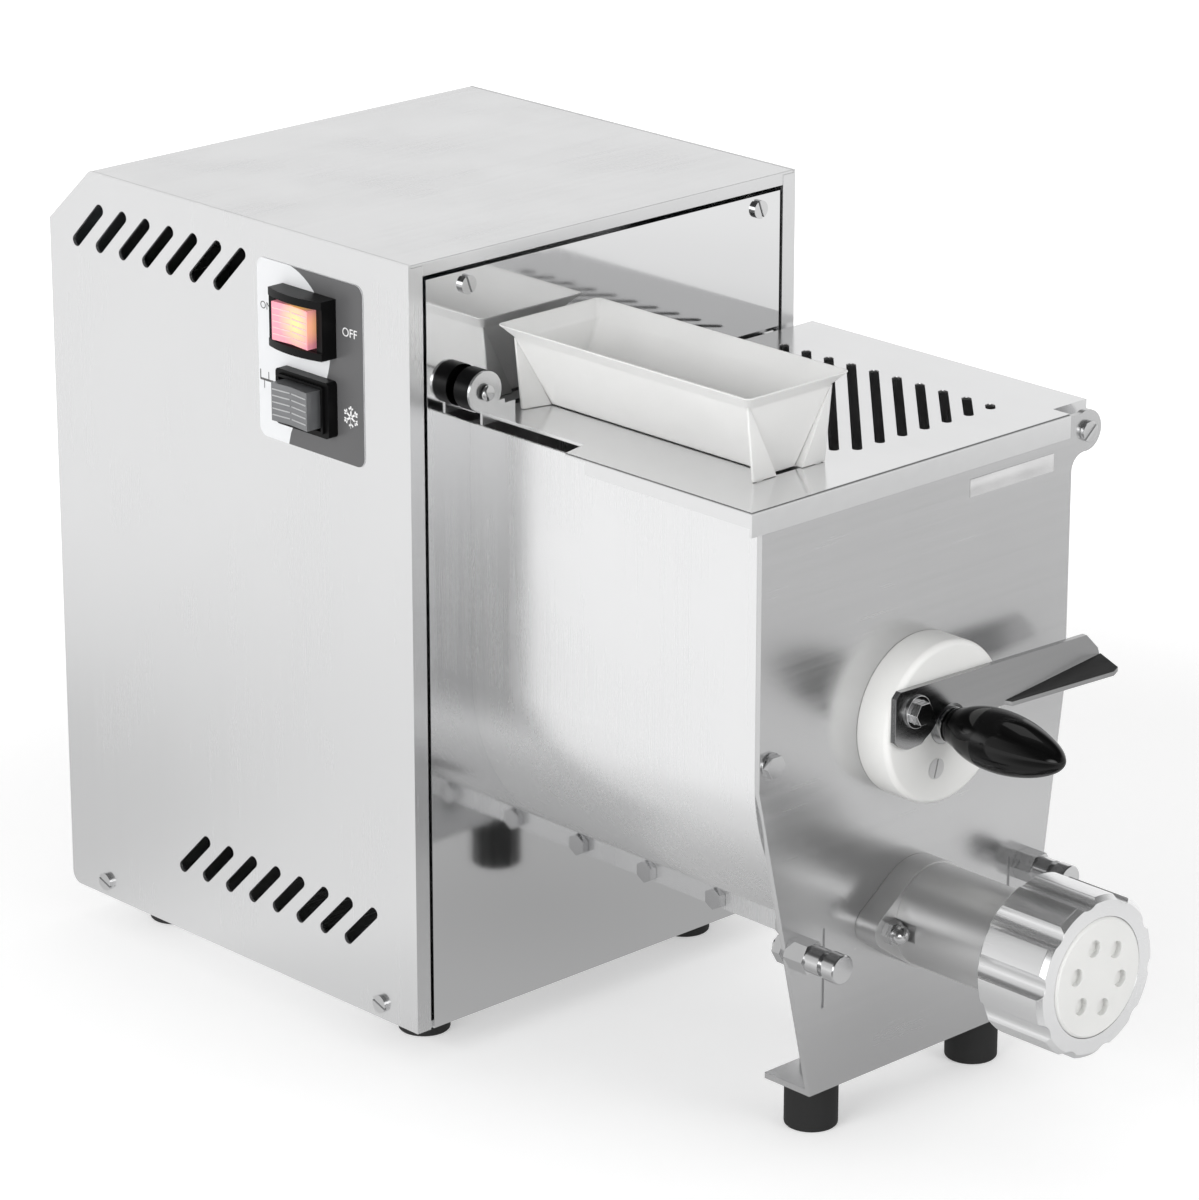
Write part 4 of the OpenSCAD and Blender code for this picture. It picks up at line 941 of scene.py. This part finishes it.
@dataclass
class FrontLock:
    """White bush, swing lever and the pull pin with its egg grip."""

    bush_edge: float = 0.5
    screw_edge: float = 0.2
    lever_edge: float = 0.4
    bolt_edge: float = 0.4
    pin_edge: float = 0.5
    axis_x: float = 138.0
    axis_z: float = 199.0
    grip_start: float = -212.8
    grip_length: float = 67.0
    grip_radius: float = 14.5
    grip_steps: int = 56

    def build(self) -> None:
        """Dress the bush and lever, and spin the grip."""
        f = Finishes
        eased("front_bush", self.bush_edge, f.white, "frame", 3)
        eased("bush_screws", self.screw_edge, f.screw_grey, "frame")
        eased("lock_lever", self.lever_edge, f.lever_sheet, "lock_lever")
        eased("lever_bolt", self.bolt_edge, f.bright, "frame")
        eased("lock_pin", self.pin_edge, f.bright, "lock_pin")
        self.grip()

    def grip(self) -> None:
        """Spin the egg grip with its flat seat and the plug at its tip."""
        profile = [(0.0, -1.5), (4.1, -1.5), (4.1, 0.0), (7.2, 0.0), (7.9, -0.3), (8.5, -1.5)]
        for i in range(6, self.grip_steps):
            t = i / self.grip_steps
            profile.append((self.grip_radius * math.sqrt(math.sin(math.pi * t ** 0.8)),
                            -self.grip_length * t))
        profile += [(1.6, -self.grip_length + 0.15), (0.0, -self.grip_length + 0.05)]
        mesh = spun(profile, place(self.axis_x, self.grip_start, self.axis_z), 72)
        smooth_by_angle(mesh, 45.0)
        new_piece("egg_grip", mesh, Finishes.egg, "lock_pin", ("handle_grip",))


@dataclass
class Extruder:
    """Barrel, ring nut and die plug."""

    barrel_edge: float = 0.5
    dome_edge: float = 0.35
    nut_edge: float = 0.8
    plug_edge: float = 0.7

    def build(self) -> None:
        """Dress the turned parts."""
        f = Finishes
        eased("extruder_barrel", self.barrel_edge, f.turned, "frame")
        eased("dome_nuts", self.dome_edge, f.bright, "frame")
        eased("ring_nut", self.nut_edge, f.milled, "ring_nut", 3)
        eased("die_plug", self.plug_edge, f.white, "die_plug", 3)


@dataclass
class LidAndHopper:
    """Slotted lid, its hinge screws, interlock and the pouring hopper."""

    lid_edge: float = 0.3
    lid_corner: Triple = (28.3, -191.7, 320.3)
    screw_edge: float = 0.4
    magnet_edge: float = 0.6
    magnet: Triple = (34.3, -15.4, 334.3)
    cap_radius: float = 3.9
    cap_height: float = 1.6
    centre: Triple = (81.5, -86.5, 320.5)
    width: float = 53.4
    length: float = 152.0
    height: float = 41.7
    wall: float = 1.6
    flare: float = 5.8
    lip: float = 7.0
    mouth: float = 12.0
    lean: float = 4.0
    inset: float = 4.0
    foot_z: float = 0.3
    leg_edge: float = 0.35
    peg_half: float = 2.0
    peg_depth: float = 4.0

    def build(self) -> None:
        """Dress the lid parts and mould the hopper."""
        f = Finishes
        eased("lid", self.lid_edge, f.lid_sheet, "lid", bend=self.on_bend)
        eased("hinge_screws", self.screw_edge, f.bright, "frame")
        eased("interlock_magnet", self.magnet_edge, f.black, "lid", 3)
        self.screw_cap()
        self.hopper()

    def on_bend(self, corner: Vector) -> bool:
        """Tell whether a corner lies on the upper edge that the lid's lips are folded from.

        Args:
            corner: The corner in metres.

        Returns:
            True on the front or left edge of the lid's top.
        """
        left, front, top = (abs(gap) < 0.2 * MM for gap in corner - place(*self.lid_corner))
        return top and (front or left)

    def screw_cap(self) -> None:
        """Spin the bright domed cap of the interlock's screw."""
        dome = [(self.cap_radius * u, -self.cap_height * v) for u, v in arc((0, 0), 1, 0, 90, 6)]
        profile = [(self.cap_radius, 0.0)] + dome[1:-1] + [(0.0, -self.cap_height)]
        mesh = spun(profile, place(*self.magnet), 32)
        smooth_by_angle(mesh, 40.0)
        new_piece("interlock_screw_cap", mesh, Finishes.bright, "lid")

    def at(self, x: float, y: float, z: float) -> Vector:
        """Return the frame position of a point given from the hopper's foot."""
        cx, cy, cz = self.centre
        return place(cx + x, cy + y, cz + z)

    def ring(self, mesh: BMesh, width: float, length: float, z: float,
             radius: float) -> list[bmesh.types.BMEdge]:
        """Add one level loop with rounded corners.

        Args:
            mesh: Mesh that takes the loop.
            width: Size across the hopper.
            length: Size along the hopper.
            z: Height over the hopper's foot.
            radius: Corner radius.

        Returns:
            The loop's edges in order.
        """
        corners = []
        for quarter, (sx, sy) in enumerate(((1, 1), (-1, 1), (-1, -1), (1, -1))):
            middle = (sx * (width / 2 - radius), sy * (length / 2 - radius))
            corners += [mesh.verts.new(self.at(x, y, z))
                        for x, y in arc(middle, radius, 90 * quarter, 90, 5)]
        return [mesh.edges.new(pair) for pair in zip(corners, corners[1:] + corners[:1])]

    def shell(self) -> BMesh:
        """Bridge level loops into the thin walls, the flared lip and its rounded rim.

        Returns:
            The shell.
        """
        mesh = bmesh.new()
        neck, top, t2 = self.height - self.lip, self.height, 2 * self.wall
        wide, long = self.width + 2 * self.flare, self.length + 2 * self.flare
        foot_l = self.length - 2 * self.inset
        # Width, length, height and corner radius of each loop: up the outside, round the
        # rim and down the inside.
        levels = [(self.mouth + t2, foot_l, self.foot_z, 1.0),
                  (self.width - 0.7, self.length - 0.2, neck - 0.7, 2.0),
                  (self.width + 0.9, self.length + 0.9, neck + 0.9, 2.3),
                  (wide - 0.15, long - 0.15, top - 0.5, 3.2),
                  (wide - 0.5, long - 0.5, top - 0.1, 3.1),
                  (wide - 1.2, long - 1.2, top, 2.9),
                  (wide - 2.2, long - 2.2, top - 0.1, 2.6),
                  (wide - t2 + 0.2, long - t2 + 0.2, top - 0.5, 2.3),
                  (self.width - t2 + 0.8, self.length - t2 + 0.8, neck + 1.2, 1.6),
                  (self.width - t2 - 0.8, self.length - t2 - 0.3, neck - 0.8, 1.5),
                  (self.mouth, foot_l - t2, self.foot_z, 0.6)]
        rings = [self.ring(mesh, *level) for level in levels]
        for low, high in zip(rings, rings[1:] + rings[:1]):
            bmesh.ops.bridge_loops(mesh, edges=low + high)
        return mesh

    def leg(self, sx: int, sy: int) -> BMesh:
        """Raise one leg from its outline in the plane of a hopper end.

        Args:
            sx: Side of the leg, 1 on the right and -1 on the left.
            sy: End of the hopper, 1 at the back and -1 at the front.

        Returns:
            The leg.
        """
        mesh = bmesh.new()
        end, neck, thin = self.length / 2, self.height - self.lip + 0.5, self.wall - 0.1
        # Distance from the middle, height and depth of each corner.
        outline = ((self.width / 2, neck, thin), (self.width / 2 - self.lean, 0.0, thin),
                   (self.mouth / 2 + 2, 0.0, self.inset + self.wall),
                   (self.width / 2 - 1.2, neck, thin))
        spots = [self.at(sx * x, sy * end, z) for x, z, _ in outline]
        face = mesh.faces.new([mesh.verts.new(spot) for spot in spots])
        raised = bmesh.ops.extrude_face_region(mesh, geom=[face])["geom"]
        for vert in (v for v in raised if isinstance(v, bmesh.types.BMVert)):
            nearest = min(range(len(spots)), key=lambda i: (vert.co - spots[i]).length)
            vert.co.y -= sy * outline[nearest][2] * MM
        bmesh.ops.recalc_face_normals(mesh, faces=mesh.faces)
        bevelled(mesh, list(mesh.edges), self.leg_edge, 2)
        return mesh

    def hopper(self) -> None:
        """Join the shell, its four legs and their pegs into the finished hopper."""
        parts = [self.shell()]
        peg, half = self.width / 2 - self.lean - 4, self.peg_half
        for sx in (-1, 1):
            for sy in (-1, 1):
                parts.append(self.leg(sx, sy))
                front, back = sorted((sy * (self.length / 2 - 1.5), sy * (self.length / 2 - 0.2)))
                parts.append(rounded_bar(self.at(sx * peg - half, front, -self.peg_depth),
                                         self.at(sx * peg + half, back, 1), 0.3))
        mesh = joined(parts)
        bmesh.ops.recalc_face_normals(mesh, faces=mesh.faces)
        smooth_by_angle(mesh, 34.0)
        piece = new_piece("hopper_moulded", mesh, Finishes.hopper, "tray",
                          ("tray",))
        finish_normals(piece)


# ---- studio


@dataclass(frozen=True)
class Grading:
    """Brightness that follows the distance from a point or from a direction."""

    centre: Triple
    reach: float
    stops: tuple[Pair, ...]

    def wire(self, wires: Wiring, coords: Socket) -> Socket:
        """Grade a brightness in a node tree.

        Args:
            wires: Wiring of the tree.
            coords: Position or direction socket.

        Returns:
            The brightness socket.
        """
        away = wires.distance(coords, self.centre, self.reach)
        ramp = wires.node("ShaderNodeValToRGB", {"Fac": away})
        ramp.color_ramp.interpolation = "EASE"
        points = ramp.color_ramp.elements
        while len(points) < len(self.stops):
            points.new(0.5)
        for point, (position, tone) in zip(points, self.stops):
            point.position = position
            point.color = (tone, tone, tone, 1)
        return ramp.outputs["Color"]


def darkest(wires: Wiring, coords: Socket, gradings: Sequence[Grading]) -> Socket:
    """Take the darkest of several gradings.

    Args:
        wires: Wiring of the tree.
        coords: Position or direction socket.
        gradings: The gradings.

    Returns:
        The brightness socket.
    """
    found = gradings[0].wire(wires, coords)
    for grading in gradings[1:]:
        found = wires.maths("MINIMUM", found, grading.wire(wires, coords))
    return found


def metal_rays(wires: Wiring, path: bpy.types.NodeOutputs) -> Socket:
    """Return a mask of the rays that left polished metal or clear plastic."""
    return wires.maths("MAXIMUM", path["Is Glossy Ray"], path["Is Transmission Ray"])


@dataclass(frozen=True)
class Lamp:
    """A square soft lamp that looks at the machine; lengths in metres, power in watts."""

    name: str
    spot: Triple
    size: float
    power: float
    mirrored: bool = False
    aim: Triple = (0.0, 0.0, 0.2)

    def hang(self) -> None:
        """Put the lamp in the scene, seen in polished surfaces only if it is mirrored."""
        light = bpy.data.lights.new(self.name, "AREA")
        light.size = self.size
        light.energy = self.power
        thing = add_object(self.name, light)
        thing.location = self.spot
        way = Vector(self.aim) - Vector(self.spot)
        thing.rotation_euler = way.to_track_quat("-Z", "Y").to_euler()
        thing.visible_glossy = self.mirrored


@dataclass
class Studio:
    """Floor, lamps, world and camera; lengths in metres."""

    floor_half: float = 6.0
    floor_tone: float = 0.8
    floor_rough: float = 0.9
    floor_lift: Grading = Grading(
        (0.0, -0.1, 0.0), 2.0, ((0.0, 0.36), (0.25, 0.42), (0.5, 0.8), (0.75, 1.0)))
    # Painted shade of the floor as polished metal sees it: darker under the trough, behind the
    # machine's left and in patches to its front left and front right.
    floor_painted_shade: tuple[Grading, ...] = (
        Grading((0.05, -0.1, 0.0), 1.0, ((0.0, 0.42), (0.12, 0.46), (0.3, 0.72), (0.45, 0.97))),
        Grading((0.55, -0.75, 0.0), 1.0, ((0.0, 0.62), (0.25, 0.66), (0.45, 0.9), (0.6, 0.97))),
        Grading((-0.42, -0.42, 0.0), 1.0, ((0.0, 0.24), (0.2, 0.34), (0.4, 0.75), (0.6, 0.97))),
        Grading((-0.12, 0.5, 0.0), 1.0, ((0.0, 0.5), (0.16, 0.64), (0.3, 0.84), (0.5, 0.97))))
    sky_shades: tuple[Grading, ...] = (
        Grading((-0.5, -0.6, 0.6), 2.0, ((0.0, 0.06), (0.33, 0.1), (0.6, 0.6), (0.75, 0.97))),
        Grading((0.0, 0.0, 1.0), 2.0, ((0.0, 0.3), (0.36, 0.06), (0.45, 0.12), (0.56, 0.97))))
    sky_strip: Grading = Grading((-0.7, -0.7, 0.04), 1.0, ((0.14, 1.0), (0.4, 0.0)))
    strip_power: float = 3.0
    soft_light: float = 0.5
    lamps: tuple[Lamp, ...] = (Lamp("key_lamp", (-2.0, -0.3, 0.7), 1.2, 30.0),
                               Lamp("front_lamp", (0.4, -1.9, 0.8), 1.2, 14.0),
                               Lamp("top_lamp", (0.2, 0.3, 2.0), 0.9, 2.0, True))
    focal_px: float = 5192.6
    picture_px: float = 1200.0
    sensor_mm: float = 36.0
    yaw: float = 43.591
    pitch: float = 19.475
    eye: Triple = (-1.6193, -1.68453, 1.03763)

    def build(self) -> None:
        """Set up everything round the machine."""
        self.floor()
        self.world()
        for lamp in self.lamps:
            lamp.hang()
        self.camera()
        bpy.context.scene.view_settings.view_transform = "Standard"

    def floor(self) -> None:
        """Make the pale floor, white to the camera, with painted shade where polished metal
        reflects it.
        """
        mesh = bmesh.new()
        bmesh.ops.create_grid(mesh, x_segments=1, y_segments=1, size=self.floor_half)
        floor = add_object("floor", mesh_data("floor", mesh))
        material, wires, paper = fresh_material("floor_paper")
        tone = (self.floor_tone, self.floor_tone, self.floor_tone, 1.0)
        wires.feed(paper, {"Base Color": tone, "Roughness": self.floor_rough})
        path = wires.node("ShaderNodeLightPath").outputs
        coords = wires.node("ShaderNodeTexCoord").outputs["Object"]
        lift = wires.maths("MULTIPLY", path["Is Camera Ray"], self.floor_lift.wire(wires, coords))
        # The floor's painted shade, the only floor that polished metal and clear plastic reflect.
        painted_dark_reflection = darkest(wires, coords, self.floor_painted_shade)
        glow, mirrored = (wires.node("ShaderNodeEmission", {"Strength": strength}).outputs[0]
                          for strength in (lift, painted_dark_reflection))
        lit = wires.node("ShaderNodeAddShader", {0: paper.outputs[0], 1: glow}).outputs[0]
        surface = wires.either(metal_rays(wires, path), lit, mirrored)
        wires.feed(wires.tree.nodes["Material Output"], {"Surface": surface})
        floor.data.materials.append(material)

    def world(self) -> None:
        """Light the world plainly, white behind the machine and graded in its metal."""
        world = bpy.data.worlds.new("studio")
        bpy.context.scene.world = world
        world.use_nodes = True
        wires = Wiring(world.node_tree)
        wires.tree.nodes.clear()
        path = wires.node("ShaderNodeLightPath").outputs
        coords = wires.node("ShaderNodeTexCoord").outputs["Generated"]
        strip = self.sky_strip.wire(wires, coords)
        sky = wires.maths("MULTIPLY_ADD", strip, self.strip_power,
                          darkest(wires, coords, self.sky_shades))
        white = (1.0, 1.0, 1.0, 1.0)
        soft, glossy, backdrop = (
            wires.node("ShaderNodeBackground", {"Color": tone, "Strength": strength}).outputs[0]
            for tone, strength in ((white, self.soft_light), (sky, 1.0), (white, 1.0)))
        unseen = wires.either(metal_rays(wires, path), soft, glossy)
        surface = wires.either(path["Is Camera Ray"], unseen, backdrop)
        wires.node("ShaderNodeOutputWorld", {"Surface": surface})

    def camera(self) -> None:
        """Set the camera at the viewing angle."""
        lens = bpy.data.cameras.new("camera")
        lens.sensor_width = self.sensor_mm
        lens.lens = self.focal_px * self.sensor_mm / self.picture_px
        lens.clip_start, lens.clip_end = 0.05, 50.0
        camera = add_object("camera", lens)
        camera.location = self.eye
        yaw, pitch = math.radians(self.yaw), math.radians(self.pitch)
        look = Vector((math.sin(yaw) * math.cos(pitch), math.cos(yaw) * math.cos(pitch),
                       -math.sin(pitch)))
        camera.rotation_mode = "QUATERNION"
        camera.rotation_quaternion = look.to_track_quat("-Z", "Y")
        bpy.context.scene.camera = camera


def main() -> None:
    """Dress every sub-assembly in order and set up the studio."""
    logging.basicConfig(level=logging.INFO, format="%(message)s")
    for assembly in (Housing(), Drive(), Controls(), Trough(), FrontLock(), Extruder(),
                     LidAndHopper()):
        LOG.info("building %s", type(assembly).__name__)
        assembly.build()
    Studio().build()
    bpy.context.view_layer.update()


if __name__ == "__main__":
    main()
